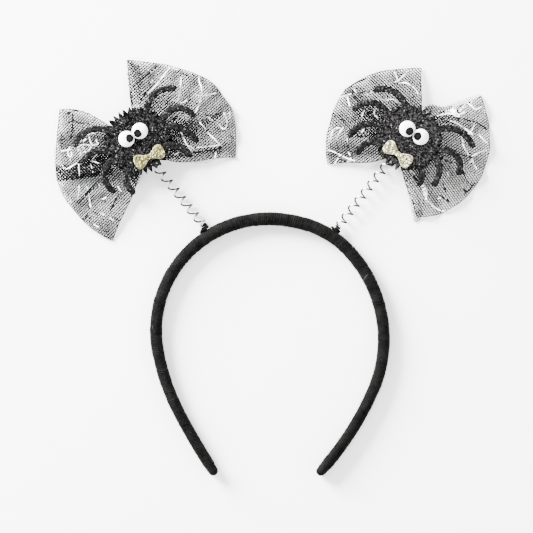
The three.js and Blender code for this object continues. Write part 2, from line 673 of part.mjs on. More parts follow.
// Bow tie outline: a knot and two rounded lobes that widen outwards
function tieShape() {
  const x = TIE_LENGTH / 2;
  const y = TIE_LOBE_HEIGHT / 2;
  const knot = TIE_KNOT_HEIGHT / 2;
  const shape = new THREE.Shape();
  shape.moveTo(-x * 0.14, -knot);
  shape.lineTo(x * 0.14, -knot);
  shape.bezierCurveTo(x * 0.3, -y * 0.75, x * 0.45, -y, x * 0.68, -y);
  shape.bezierCurveTo(x * 0.92, -y, x, -y * 0.45, x, 0);
  shape.bezierCurveTo(x, y * 0.45, x * 0.92, y, x * 0.68, y);
  shape.bezierCurveTo(x * 0.45, y, x * 0.3, y * 0.75, x * 0.14, knot);
  shape.lineTo(-x * 0.14, knot);
  shape.bezierCurveTo(-x * 0.3, y * 0.75, -x * 0.45, y, -x * 0.68, y);
  shape.bezierCurveTo(-x * 0.92, y, -x, y * 0.45, -x, 0);
  shape.bezierCurveTo(-x, -y * 0.45, -x * 0.92, -y, -x * 0.68, -y);
  shape.bezierCurveTo(-x * 0.45, -y, -x * 0.3, -y * 0.75, -x * 0.14, -knot);
  return shape;
}

function bowTie(name, place) {
  const settings = { depth: TIE_THICKNESS, bevelEnabled: false, curveSegments: TIE_CURVE_POINTS };
  const mesh = named(name, new THREE.ExtrudeGeometry(tieShape(), settings), MATERIALS.gold);
  mesh.position.set(place.across * BODY_RADIUS, place.up * BODY_RADIUS, TRIM_BOTTOM);
  mesh.rotation.z = radians(place.turn);
  return mesh;
}

// Net bow with all that sits on it, turned and placed at the end of its spring
function bowGroup(label) {
  const bow = BOWS[label];
  const group = new THREE.Group();
  group.add(
    netBow(`net_bow_${label}`, CLOTH[label]),
    neckBand(`neck_band_${label}`),
    spider(`spider_${label}`, LEGS[label]),
    eyes(label, bow.eyes),
    bowTie(`bow_tie_${label}`, bow.tie),
  );
  const { middle } = springLine(label, bow);
  group.position.set(middle.x, middle.y, 0);
  group.rotation.z = radians(bow.tilt);
  return group;
}

const model = new THREE.Group();
model.add(headband());
for (const label of ['left', 'right']) {
  model.add(lashing(label, BOWS[label]), spring(label, BOWS[label]), bowGroup(label));
}

// The origin is the middle of the underside of the whole headband
model.updateMatrixWorld(true);
const bounds = new THREE.Box3().setFromObject(model, true);
const centre = bounds.getCenter(new THREE.Vector3());
model.position.set(-centre.x, -centre.y, -bounds.min.z);

export default model;
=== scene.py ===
"""Dresses the spider headband: ribbed hoop, wire springs, gathered web nets, glitter spiders and bow ties.

Sizes and points are millimetres in the row frame, with +Z up and +Y towards the crown. A bow's own pieces are
made in its own frame, whose origin is the middle of the bow on the surface it lies on. write_piece turns
millimetres into metres.
"""

import logging
import math
from dataclasses import dataclass, field
from enum import Enum
from typing import Callable, NamedTuple, Sequence

import bpy
import numpy as np
from bpy.types import Material, Node, NodeSocket, NodeTree, Object
from numpy import ndarray
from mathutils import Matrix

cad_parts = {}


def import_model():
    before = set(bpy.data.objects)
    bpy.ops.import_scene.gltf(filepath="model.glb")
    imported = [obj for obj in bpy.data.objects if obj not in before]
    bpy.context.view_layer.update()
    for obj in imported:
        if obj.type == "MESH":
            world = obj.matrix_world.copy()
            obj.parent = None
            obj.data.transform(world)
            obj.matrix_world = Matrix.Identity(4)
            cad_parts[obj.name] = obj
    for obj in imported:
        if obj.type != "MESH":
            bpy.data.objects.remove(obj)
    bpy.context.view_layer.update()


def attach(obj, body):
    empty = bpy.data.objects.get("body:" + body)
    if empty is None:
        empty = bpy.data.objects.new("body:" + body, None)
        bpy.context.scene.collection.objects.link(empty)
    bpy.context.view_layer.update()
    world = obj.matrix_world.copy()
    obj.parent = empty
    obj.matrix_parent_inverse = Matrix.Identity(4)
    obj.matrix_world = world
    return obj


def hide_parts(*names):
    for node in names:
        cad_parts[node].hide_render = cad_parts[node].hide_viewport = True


LOG = logging.getLogger("headband")
MM = 0.001
CROWN = np.array([-2.498, 26.899])  # centre line point of the hoop at its crown
SPRING_FOOT_HEIGHT = 3.3
SPRING_TOP_HEIGHT = 4.2
FOAM_BOTTOM = 6.9
TRIM_BOTTOM = 9.2
NECK_HEIGHT = 5.0
PEAK = 6.75  # s (1 - s)^2 and s^2 (1 - s) are at most 4/27, so this brings them to 1
UP = np.array([0, 0, 1.0])

Tone = tuple[float, float, float]  # red, green and blue
Yarns = tuple[ndarray, ndarray, ndarray]  # ends twice and widths


class Slot(Enum):
    """Material slots of the record that pieces take their finish from."""

    HOOP_CLOTH = "hoop_cloth"
    THREAD = "thread"
    WIRE = "wire"
    NET = "net"
    BAND = "band"
    FOAM = "foam"
    EYE_WHITE = "eye_white"
    PUPIL = "pupil"
    GOLD = "gold"


# Meshes from whole arrays


@dataclass
class Shape:
    """Points and faces of a mesh. uv holds one pair for each corner of each face, or is None."""

    points: ndarray
    quads: ndarray
    triangles: ndarray = field(default_factory=lambda: np.zeros((0, 3), int))
    uv: ndarray | None = None

    @staticmethod
    def joined(shapes: Sequence["Shape"]) -> "Shape":
        """Several shapes as one, with no uv."""
        starts = np.cumsum([0] + [len(s.points) for s in shapes[:-1]])
        return Shape(
            np.vstack([s.points for s in shapes]),
            np.vstack([s.quads + start for s, start in zip(shapes, starts)]),
            np.vstack([s.triangles + start for s, start in zip(shapes, starts)]),
        )


def unit(vectors: ndarray) -> ndarray:
    """Vectors of length one along the last axis."""
    return vectors / np.maximum(np.linalg.norm(vectors, axis=-1, keepdims=True), 1e-12)


def smooth(value: ndarray, low: float, high: float) -> ndarray:
    """Smooth step from 0 at low to 1 at high: 3t squared less 2t cubed."""
    t = np.clip((value - low) / (high - low), 0, 1)
    return t * t * (3 - 2 * t)


def circle(count: int) -> ndarray:
    """Angles of evenly spaced corners round a circle."""
    return np.linspace(0, 2 * np.pi, count, endpoint=False)


def rounded(angle: ndarray, power: float) -> tuple[ndarray, ndarray]:
    """Cosine and sine with their size raised to a power: 1 gives a circle, towards 0 it nears a rectangle."""
    c, s = np.cos(angle), np.sin(angle)
    return np.sign(c) * np.abs(c) ** power, np.sign(s) * np.abs(s) ** power


def grid_of(x: ndarray, y: ndarray, z: ndarray) -> ndarray:
    """Points from three arrays of coordinates, each repeated to their common shape."""
    return np.stack(np.broadcast_arrays(x, y, z), -1)


def turning(degrees: float) -> ndarray:
    """Matrix that turns a point of the plane about the origin."""
    c, s = math.cos(math.radians(degrees)), math.sin(math.radians(degrees))
    return np.array([[c, -s], [s, c]])


def run_along(line: ndarray) -> ndarray:
    """Distance along a line at each of its points."""
    return np.concatenate([[0], np.cumsum(np.linalg.norm(np.diff(line, axis=0), axis=1))])


def resampled(line: ndarray, run: ndarray, wanted: ndarray) -> ndarray:
    """Points (count, 2) of a line at the wanted distances, where run has the distances of its own points."""
    return np.stack([np.interp(wanted, run, line[:, k]) for k in (0, 1)], -1)


def skin(grid: ndarray) -> Shape:
    """Quads over a grid of points, closed round its columns and capped by a fan at each end.

    Args:
        grid: points with shape (rows, columns, 3).

    Returns:
        The shape. Its uv runs 0 to 1 along the rows and round the columns.
    """
    rows, columns = grid.shape[:2]
    r, c = (a.ravel() for a in np.meshgrid(np.arange(rows - 1), np.arange(columns), indexing="ij"))
    corner_rows = np.stack([r, r + 1, r + 1, r], 1)
    corner_columns = np.stack([c, c, c + 1, c + 1], 1)
    quads = corner_rows * columns + corner_columns % columns
    uv = np.stack([corner_rows / (rows - 1), corner_columns / columns], -1)
    middle = np.array([grid[0].mean(0), grid[-1].mean(0)])
    ring = np.arange(columns)
    following = (ring + 1) % columns
    last, end = (rows - 1) * columns, rows * columns
    first_fan = np.stack([np.full(columns, end), ring, following], 1)
    last_fan = np.stack([np.full(columns, end + 1), last + following, last + ring], 1)
    fan_uv = np.zeros((2 * columns, 3, 2))
    fan_uv[columns:, :, 0] = 1
    corners = np.concatenate([uv.reshape(-1, 2), fan_uv.reshape(-1, 2)])
    return Shape(np.vstack([grid.reshape(-1, 3), middle]), quads, np.vstack([first_fan, last_fan]), corners)


def volume(shape: Shape) -> float:
    """Volume inside a closed shape, or less than 0 inside out: sums a . (b x c) / 6 over its triangles."""
    q, p = shape.quads, shape.points
    faces = np.vstack([q[:, [0, 1, 2]], q[:, [0, 2, 3]], shape.triangles])
    a, b, c = (p[faces[:, k]] for k in range(3))
    return float((a * np.cross(b, c)).sum() / 6)


def facing_out(shape: Shape) -> Shape:
    """The shape with its faces turned over if they point inwards."""
    if volume(shape) >= 0:
        return shape
    uv = shape.uv
    if uv is not None:
        quad_part, fan_part = np.split(uv.reshape(-1, 2), [shape.quads.size])
        turned = [part.reshape(-1, size, 2)[:, ::-1] for part, size in ((quad_part, 4), (fan_part, 3))]
        uv = np.concatenate([part.reshape(-1, 2) for part in turned])
    return Shape(shape.points, shape.quads[:, ::-1], shape.triangles[:, ::-1], uv)


def tube(path: ndarray, radius: ndarray | float, sides: int, beside: ndarray) -> Shape:
    """Round tube along a path: each ring is path + radius (cos a n + sin a b), square to the path.

    Args:
        path: points with shape (count, 3).
        radius: one radius, or an array (count, sides).
        sides: corners round the tube.
        beside: a direction that the path never follows.

    Returns:
        A closed shape with its faces pointing out.
    """
    along = unit(np.gradient(path, axis=0))
    across = unit(np.cross(along, np.broadcast_to(beside, path.shape)))
    third = np.cross(along, across)
    a = circle(sides)
    size = np.broadcast_to(radius, (len(path), sides))[..., None]
    ring = np.cos(a)[None, :, None] * across[:, None] + np.sin(a)[None, :, None] * third[:, None]
    return facing_out(skin(path[:, None] + size * ring))


def write_piece(name: str, shape: Shape, finish: Material,
                stands_for: Sequence[str] = (), flat_shaded: bool = False) -> Object:
    """Writes a shape into a mesh object at the origin, dresses it and rides it on the one body.

    Args:
        name: name of the piece.
        shape: the shape in millimetres.
        finish: its material.
        stands_for: CAD nodes that it replaces.
        flat_shaded: leaves the faces unsmoothed.

    Returns:
        The new object.
    """
    mesh = bpy.data.meshes.new(name)
    mesh.vertices.add(len(shape.points))
    mesh.vertices.foreach_set("co", (shape.points * MM).astype(np.float32).ravel())
    corners = np.concatenate([shape.quads.ravel(), shape.triangles.ravel()]).astype(np.int32)
    sizes = np.concatenate([np.full(len(shape.quads), 4), np.full(len(shape.triangles), 3)])
    mesh.loops.add(len(corners))
    mesh.loops.foreach_set("vertex_index", corners)
    mesh.polygons.add(len(sizes))
    mesh.polygons.foreach_set("loop_start", (np.cumsum(sizes) - sizes).astype(np.int32))
    mesh.polygons.foreach_set("use_smooth", np.full(len(sizes), not flat_shaded))
    if shape.uv is not None:
        layer = mesh.uv_layers.new(name="surface")
        layer.data.foreach_set("uv", shape.uv.astype(np.float32).ravel())
    mesh.update(calc_edges=True)
    mesh.validate()
    mesh.materials.append(finish)
    piece = bpy.data.objects.new(name, mesh)
    bpy.context.scene.collection.objects.link(piece)
    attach(piece, "root")
    if stands_for:
        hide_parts(*stands_for)
    LOG.info("%s: %d triangles", name, 2 * len(shape.quads) + len(shape.triangles))
    return piece


# Finishes


class NodeBench:
    """Short calls for building a node tree from left to right."""

    def __init__(self, tree: NodeTree) -> None:
        """Keeps the tree that the calls add nodes to."""
        self.tree = tree

    def fill(self, node: Node, values: dict[str | int, object]) -> None:
        """Sets a node's inputs: an output socket is linked to the input, and a plain value is set on it."""
        for key, value in values.items():
            if isinstance(value, NodeSocket):
                self.tree.links.new(value, node.inputs[key])
            else:
                node.inputs[key].default_value = value

    def node(self, kind: str, values: dict[str | int, object] | None = None, **settings: object) -> Node:
        """Adds a node of Blender's kind with its settings as attributes, and fills its inputs."""
        node = self.tree.nodes.new(kind)
        for key, value in settings.items():
            setattr(node, key, value)
        self.fill(node, values or {})
        return node

    def maths(self, operation: str, *values: object) -> NodeSocket:
        """Adds a Math node and returns its output."""
        return self.node("ShaderNodeMath", dict(enumerate(values)), operation=operation).outputs[0]

    def vector(self, operation: str, values: dict[str | int, object]) -> NodeSocket:
        """Adds a Vector Math node and returns its output."""
        return self.node("ShaderNodeVectorMath", values, operation=operation).outputs[0]

    def blend(self, share: object, first: object, second: object) -> NodeSocket:
        """Adds a colour mix and returns its result: first at share 0, second at 1."""
        return self.node("ShaderNodeMix", {0: share, 6: first, 7: second}, data_type="RGBA").outputs[2]

    def ramp(self, value: NodeSocket, low: float, high: float) -> NodeSocket:
        """Adds a clamped map from low..high to 0..1 and returns its result."""
        return self.node("ShaderNodeMapRange", {"Value": value, "From Min": low, "From Max": high}).outputs[0]

    def spread(self, value: NodeSocket, low: float, high: float) -> NodeSocket:
        """Adds a clamped map from 0..1 to low..high and returns its result."""
        return self.node("ShaderNodeMapRange", {"Value": value, "To Min": low, "To Max": high}).outputs[0]

    def place(self) -> NodeSocket:
        """Adds a coordinate node and returns the place on the piece."""
        return self.node("ShaderNodeTexCoord").outputs["Object"]

    def noise(self, scale: object, detail: float) -> NodeSocket:
        """Adds noise over the place on the piece and returns its value."""
        values = {"Vector": self.place(), "Scale": scale, "Detail": detail}
        return self.node("ShaderNodeTexNoise", values).outputs[0]

    def surface(self) -> Sequence[NodeSocket]:
        """Adds the piece's uv and returns its parts."""
        uv = self.node("ShaderNodeUVMap", uv_map="surface").outputs[0]
        return self.node("ShaderNodeSeparateXYZ", {0: uv}).outputs

    def bump(self, height: NodeSocket, distance: float) -> NodeSocket:
        """Adds a bump of so many millimetres and returns its normal."""
        values = {"Height": height, "Distance": distance * MM, "Strength": 1.0}
        return self.node("ShaderNodeBump", values).outputs[0]


def new_group(name: str, inputs: dict[str, str], outputs: dict[str, str]) -> NodeBench:
    """Makes a shader node group, whose sockets are given as name to type, and a bench on it."""
    group = bpy.data.node_groups.new(name, "ShaderNodeTree")
    for way, sockets in (("INPUT", inputs), ("OUTPUT", outputs)):
        for key, kind in sockets.items():
            group.interface.new_socket(key, in_out=way, socket_type=f"NodeSocket{kind}")
    group.nodes.new("NodeGroupInput")
    group.nodes.new("NodeGroupOutput")
    return NodeBench(group)


def shared(name: str, build: Callable[[str], NodeTree]) -> NodeTree:
    """The group of that name, built by the given function the first time."""
    return bpy.data.node_groups.get(name) or build(name)


def build_flakes(name: str) -> NodeTree:
    """Builds the glitter group: random cells in space, each with its own tone and its own tilt.

    Args:
        name: name of the group.

    Returns:
        A group that puts out the flakes' colour, normal and roughness. Sides with a level normal take the
        side
        colour: plain cut foam, whose tone each finish also sets as painted edge light.
    """
    bench = new_group(name, {
        "Flake Size": "Float", "Ground": "Color", "Flake": "Color", "Glint": "Color", "Glint Share": "Float",
        "Tilt": "Float", "Side": "Color", "Dark Share": "Float",
    }, {"Color": "Color", "Normal": "Vector", "Roughness": "Float"})
    given = bench.tree.nodes["Group Input"].outputs
    side_from, top_from = 0.55, 0.9
    smoothest, roughest = 0.3, 0.6
    scale = bench.maths("DIVIDE", 1.0, given["Flake Size"])
    cells = bench.node("ShaderNodeTexVoronoi", {"Vector": bench.place(), "Scale": scale, "Randomness": 1.0})
    random = cells.outputs["Color"]
    parts = bench.node("ShaderNodeSeparateColor", {"Color": random}).outputs
    above = bench.maths("SUBTRACT", parts[0], given["Dark Share"])
    left = bench.maths("SUBTRACT", 1.0, given["Dark Share"])
    tone = bench.maths("MAXIMUM", bench.maths("DIVIDE", above, left), 0.0)
    toned = bench.blend(tone, given["Ground"], given["Flake"])
    glint = bench.maths("GREATER_THAN", parts[1], bench.maths("SUBTRACT", 1.0, given["Glint Share"]))
    flaked = bench.blend(glint, toned, given["Glint"])
    square = bench.node("ShaderNodeNewGeometry").outputs["Normal"]
    upward = bench.node("ShaderNodeSeparateXYZ", {0: square}).outputs[2]
    # painted edge light: faces that turn away from up take the side colour, painted shade on black foam and a
    # painted highlight on gold
    shown = bench.blend(bench.ramp(upward, side_from, top_from), given["Side"], flaked)
    lean = bench.vector("SUBTRACT", {0: random, 1: (0.5, 0.5, 0.5)})
    lean = bench.vector("SCALE", {0: lean, "Scale": given["Tilt"]})
    normal = bench.vector("NORMALIZE", {0: bench.vector("ADD", {0: square, 1: lean})})
    rough = bench.spread(parts[2], smoothest, roughest)
    bench.fill(bench.tree.nodes["Group Output"], {"Color": shown, "Normal": normal, "Roughness": rough})
    return bench.tree


def build_fibres(name: str) -> NodeTree:
    """Builds the fibre group: fuzz from fine noise and from noise about eight times as broad."""
    bench = new_group(name, {"Fuzz Size": "Float", "Dark": "Color", "Light": "Color"},
                      {"Color": "Color", "Height": "Float"})
    given = bench.tree.nodes["Group Input"].outputs
    fine_share, broad_share, broad_scale = 0.65, 0.35, 0.12
    darkest, lightest = 0.38, 0.66
    scale = bench.maths("DIVIDE", 1.0, given["Fuzz Size"])
    fine = bench.noise(scale, 3.0)
    broad = bench.noise(bench.maths("MULTIPLY", scale, broad_scale), 2.0)
    fine, broad = bench.maths("MULTIPLY", fine, fine_share), bench.maths("MULTIPLY", broad, broad_share)
    both = bench.maths("ADD", fine, broad)
    shown = bench.blend(bench.ramp(both, darkest, lightest), given["Dark"], given["Light"])
    bench.fill(bench.tree.nodes["Group Output"], {"Color": shown, "Height": both})
    return bench.tree


def new_material(name: str) -> tuple[Material, NodeBench, Node]:
    """An empty node material, a bench on its tree and its Principled shader."""
    material = bpy.data.materials.new(name)
    material.use_nodes = True
    return material, NodeBench(material.node_tree), material.node_tree.nodes["Principled BSDF"]


@dataclass(frozen=True)
class Cloth:
    """Fibrous finish for cloth, tape and thread.

    warps is the number of fine lines round the piece. ribs is painted shade that darkens the grooves between
    the ribs, which the first part of the uv counts.
    """

    name: str
    dark: Tone
    light: Tone
    fuzz_size: float
    relief: float
    roughness: float = 0.85
    warps: int = 0
    warp_height: float = 0.12
    ribs: float = 0.0

    def material(self) -> Material:
        """Makes the material: rough, with fuzz in its colour and relief, its warp lines and painted shade in
        the grooves between its ribs.
        """
        material, bench, shader = new_material(self.name)
        fibres = bench.node("ShaderNodeGroup", {
            "Fuzz Size": self.fuzz_size * MM, "Dark": (*self.dark, 1), "Light": (*self.light, 1),
        }, node_tree=shared("fibres", build_fibres))
        shown, height = fibres.outputs["Color"], fibres.outputs["Height"]
        if self.warps:
            wave = bench.maths("SINE", bench.maths("MULTIPLY", bench.surface()[1], 2 * math.pi * self.warps))
            height = bench.maths("ADD", height, bench.maths("MULTIPLY", wave, self.warp_height))
        # painted shade: the grooves between the ribs are darkened towards black
        if self.ribs:
            half_turn = bench.maths("MULTIPLY", bench.surface()[0], math.pi)
            crest = bench.maths("ABSOLUTE", bench.maths("SINE", half_turn))
            shade = bench.maths("MULTIPLY", bench.maths("SUBTRACT", 1.0, crest), self.ribs)
            shown = bench.blend(shade, shown, (0, 0, 0, 1))
        bench.fill(shader, {"Base Color": shown, "Normal": bench.bump(height, self.relief),
                            "Roughness": self.roughness, "Specular IOR Level": 0.02})
        return material


@dataclass(frozen=True)
class Glitter:
    """Foam covered in glitter flakes."""

    name: str
    ground: Tone
    flake: Tone
    glint: Tone
    side: Tone
    flake_size: float
    glint_share: float
    dark_share: float
    tilt: float = 0.5

    def material(self) -> Material:
        """Makes the material: flakes of random tone and tilt on the top, and plain foam on the cut sides,
        whose
        tone is also painted edge light: painted shade on black foam, a painted highlight on gold.
        """
        material, bench, shader = new_material(self.name)
        flakes = bench.node("ShaderNodeGroup", {
            "Flake Size": self.flake_size * MM, "Ground": (*self.ground, 1), "Flake": (*self.flake, 1),
            "Glint": (*self.glint, 1), "Glint Share": self.glint_share, "Tilt": self.tilt,
            "Side": (*self.side, 1), "Dark Share": self.dark_share,
        }, node_tree=shared("flakes", build_flakes)).outputs
        bench.fill(shader, {"Base Color": flakes["Color"], "Normal": flakes["Normal"],
                            "Roughness": flakes["Roughness"], "Specular IOR Level": 0.02})
        return material


@dataclass(frozen=True)
class Gloss:
    """Moulded glossy plastic with faint unevenness, and a paler painted highlight in its middle if it has
    one.
    """

    name: str
    shade: Tone
    roughness: float
    coat: float = 0.4
    shine: float = 0.5
    centre_highlight: Tone | None = None
    centre_highlight_edge: tuple[float, float] = (0.40, 0.46)
    mottle_scale: float = 700.0
    mottle_edge: tuple[float, float] = (0.4, 0.7)
    worn_tone: float = 0.94
    scuff: float = 0.12
    relief: float = 0.02

    def material(self) -> Material:
        """Makes the material: a smooth coat with a slight mottle, small scuffs and the painted highlight in
        the middle.
        """
        material, bench, shader = new_material(self.name)
        mottle = bench.noise(self.mottle_scale, 3.0)
        worn = tuple(self.worn_tone * part for part in self.shade)
        shown = bench.blend(bench.ramp(mottle, *self.mottle_edge), (*self.shade, 1), (*worn, 1))
        # painted highlight: a paler tone over the middle of the dome
        if self.centre_highlight:
            shown = bench.blend(bench.ramp(bench.surface()[0], *self.centre_highlight_edge), (*self.centre_highlight, 1), shown)
        bench.fill(shader, {
            "Base Color": shown, "Roughness": bench.maths("MULTIPLY_ADD", mottle, self.scuff, self.roughness),
            "Normal": bench.bump(mottle, self.relief), "Coat Weight": self.coat, "Coat Roughness": 0.08,
            "Specular IOR Level": self.shine})
        return material


@dataclass(frozen=True)
class DrawnWire:
    """Drawn wire with its light painted in: a painted highlight on close turns and on top of open ones, a dim
    painted reflection beside, and painted shade, darkest, in the bends.
    """

    name: str
    # tones of painted light: the highlight, the dim reflection beside it, and the shade in the bends
    highlight_tone: Tone
    dim_reflection: Tone
    dark: Tone
    highlight_lead: float = 35.0
    highlight_edge: tuple[float, float] = (0.86, 0.97)
    bend_shade_edge: tuple[float, float] = (0.7, 0.95)

    def material(self) -> Material:
        """Makes the material: metal whose colour follows the turns, with its highlights, reflection and shade
        painted in.

        The uv's first part counts turns, a quarter past a whole one being the top; its second part is 0 on
        close turns and 1 on open ones. Close turns carry the painted highlight, and an open turn has it the
        lead's number of degrees before its top. The roughness drifts along the wire.
        """
        material, bench, shader = new_material(self.name)
        drift = bench.noise(600.0, 2.0)
        turns, spread, _ = bench.surface()
        angle = bench.maths("MULTIPLY", turns, 2 * math.pi)
        # painted shade in the bends, a painted highlight on top of open turns and on close turns, a dim
        # painted reflection beside
        bend = bench.ramp(bench.maths("ABSOLUTE", bench.maths("COSINE", angle)), *self.bend_shade_edge)
        lead = bench.maths("ADD", angle, math.radians(self.highlight_lead))
        top = bench.ramp(bench.maths("SINE", lead), *self.highlight_edge)
        beside = bench.blend(bend, (*self.dim_reflection, 1), (*self.dark, 1))
        shown = bench.blend(spread, (*self.highlight_tone, 1), bench.blend(top, beside, (*self.highlight_tone, 1)))
        bench.fill(shader, {"Base Color": shown, "Roughness": bench.spread(drift, 0.3, 0.5), "Metallic": 1.0,
                            "Specular Tint": (0.35, 0.35, 0.35, 1)})
        return material


@dataclass(frozen=True)
class FoilPrint:
    """Web print: a foil tone broken by darker patches. On the silver print the near-white tone is a painted
    reflection of bright surroundings and the darker patches are painted dark reflection; on the black print
    they are only a darker tone.
    """

    name: str
    foil: Tone
    dark_patch: Tone
    dark_patch_share: float
    patch_size: float = 1.6
    blur: float = 0.02
    noise_range: float = 0.33

    def material(self) -> Material:
        """Makes the material: patches of the foil tone and the darker tone from noise, whose middle value is
        a half.
        """
        material, bench, shader = new_material(self.name)
        noise = bench.noise(1 / (self.patch_size * MM), 1.0)
        edge = 0.5 + self.noise_range * (self.dark_patch_share - 0.5)
        # on the silver print the darker patches are painted dark reflection, on the black print a darker tone
        mask = bench.ramp(noise, edge - self.blur, edge + self.blur)
        bench.fill(shader, {"Base Color": bench.blend(mask, (*self.dark_patch, 1), (*self.foil, 1)),
                            "Roughness": 0.5, "Specular IOR Level": 0.1})
        return material


CLOTH_BLACK = Cloth("ribbed_cloth", (0.0004, 0.0004, 0.0004), (0.0092, 0.0088, 0.0085), 0.6, 0.12, warps=60,
                    ribs=0.9)
THREAD_BLACK = Cloth("black_thread", (0.0005, 0.0005, 0.0006), (0.004, 0.004, 0.004), 0.3, 0.04)
TAPE_BLACK = Cloth("neck_tape", (0.001, 0.001, 0.0011), (0.004, 0.004, 0.0042), 0.5, 0.06)
NET_BLACK = Cloth("net_yarn", (0.0035, 0.0035, 0.0036), (0.0095, 0.0095, 0.0097), 0.9, 0.02, roughness=0.7)
LINT_GREY = Cloth("lint", (0.03, 0.03, 0.03), (0.12, 0.12, 0.12), 0.6, 0.01)
# painted highlight, dim painted reflection and painted shade in the bends of the wire
WIRE = DrawnWire("drawn_wire", (0.55, 0.56, 0.58), (0.035, 0.035, 0.037), (0.014, 0.014, 0.015))
# On the black foam the side tone is painted shade at the cut edges.
FOAM_LEFT = Glitter(
    "black_glitter_left", (0.0003, 0.0003, 0.0004), (0.038, 0.0365, 0.037), (0.09, 0.09, 0.09),
    (0.0006, 0.0006, 0.0007), flake_size=0.52, glint_share=0.02, dark_share=0.64)
# Both spiders are the same foam: the left copy is toned darker than this right one as painted shade.
FOAM_RIGHT = Glitter(
    "black_glitter_right", (0.0008, 0.0008, 0.0009), (0.042, 0.0405, 0.041), (0.09, 0.09, 0.09),
    (0.0006, 0.0006, 0.0007), flake_size=0.52, glint_share=0.02, dark_share=0.52)
LEGS_BLACK = Glitter(
    "black_glitter_legs", (0.0006, 0.0006, 0.0007), (0.018, 0.0174, 0.0178), (0.06, 0.06, 0.06),
    (0.0005, 0.0005, 0.0006), flake_size=0.5, glint_share=0.04, dark_share=0.42, tilt=0.3)
# On the gold foam the side tone is a painted highlight at the cut edges.
FOAM_GOLD = Glitter(
    "gold_glitter", (0.004, 0.0037, 0.001), (0.16, 0.146, 0.05), (0.52, 0.49, 0.3),
    (0.42, 0.4, 0.22), flake_size=0.46, glint_share=0.12, dark_share=0.15)
FOAM_PALE = Glitter(
    "pale_gold_glitter", (0.01, 0.009, 0.003), (0.28, 0.26, 0.13), (0.85, 0.83, 0.68),
    (0.5, 0.48, 0.3), flake_size=0.5, glint_share=0.17, dark_share=0.15)
EYE_WHITE = Gloss("eye_white", (0.93, 0.93, 0.92), 0.12)
# the pupil's paler middle is a painted highlight
PUPIL_BLACK = Gloss("pupil_black", (0.0008, 0.0008, 0.001), 0.25, coat=0.0, shine=0.06,
                    centre_highlight=(0.004, 0.004, 0.0042))
# near-white painted reflection of the silver foil, with patches of painted dark reflection
SILVER_PRINT = FoilPrint("silver_print", (0.93, 0.93, 0.92), (0.3, 0.3, 0.3), dark_patch_share=0.15)
BLACK_PRINT = FoilPrint("black_print", (0.004, 0.004, 0.004), (0.001, 0.001, 0.001), dark_patch_share=0.5)


# Hoop


class Arc(NamedTuple):
    """One arc of an arm: radius in millimetres and sweep in degrees."""

    radius: float
    sweep: float


@dataclass
class Arm:
    """One arm of the hoop from the crown to its tip."""

    side: int
    arcs: tuple[Arc, ...]

    def __post_init__(self) -> None:
        """Works out where each arc starts: its length, heading and point."""
        self.radius = np.array([a.radius for a in self.arcs])
        sweep = np.radians([a.sweep for a in self.arcs])
        self.turn = np.concatenate([[0], np.cumsum(sweep)[:-1]])
        ends = self.turn + sweep
        self.starts = np.concatenate([[0], np.cumsum(self.radius * sweep)])
        dx = self.radius * (np.sin(ends) - np.sin(self.turn))
        dy = self.radius * (np.cos(self.turn) - np.cos(ends))
        self.x = np.concatenate([[0], np.cumsum(dx)[:-1]])
        self.y = np.concatenate([[0], np.cumsum(dy)[:-1]])

    @property
    def length(self) -> float:
        """Length of the arm along its centre line."""
        return float(self.starts[-1])

    def at(self, run: ndarray) -> tuple[ndarray, ndarray, ndarray]:
        """Centre line at distances from the crown: x and y follow the heading's sine and cosine, arc by arc.

        Args:
            run: distances from the crown along the arm.

        Returns:
            Points (count, 2), outward directions (count, 2) and onward directions (count, 2).
        """
        k = np.clip(np.searchsorted(self.starts, run, side="right") - 1, 0, len(self.radius) - 1)
        heading = self.turn[k] + (run - self.starts[k]) / self.radius[k]
        x = self.x[k] + self.radius[k] * (np.sin(heading) - np.sin(self.turn[k]))
        y = self.y[k] + self.radius[k] * (np.cos(self.turn[k]) - np.cos(heading))
        out = np.stack([self.side * np.sin(heading), np.cos(heading)], -1)
        on = np.stack([self.side * np.cos(heading), -np.sin(heading)], -1)
        return CROWN + np.stack([self.side * x, -y], -1), out, on

    def run_at(self, degrees: float) -> float:
        """Distance along the arm at which its heading reaches a number of degrees."""
        turn = math.radians(degrees)
        k = int(np.searchsorted(self.turn, turn, side="right")) - 1
        return float(self.starts[k] + (turn - self.turn[k]) * self.radius[k])


LEFT_ARM = Arm(-1, (Arc(61.504, 101), Arc(124.992, 17), Arc(399.9, 5)))
RIGHT_ARM = Arm(1, (Arc(73.594, 17.5), Arc(50.499, 26.8), Arc(70.804, 69.9), Arc(168.268, 17.6)))


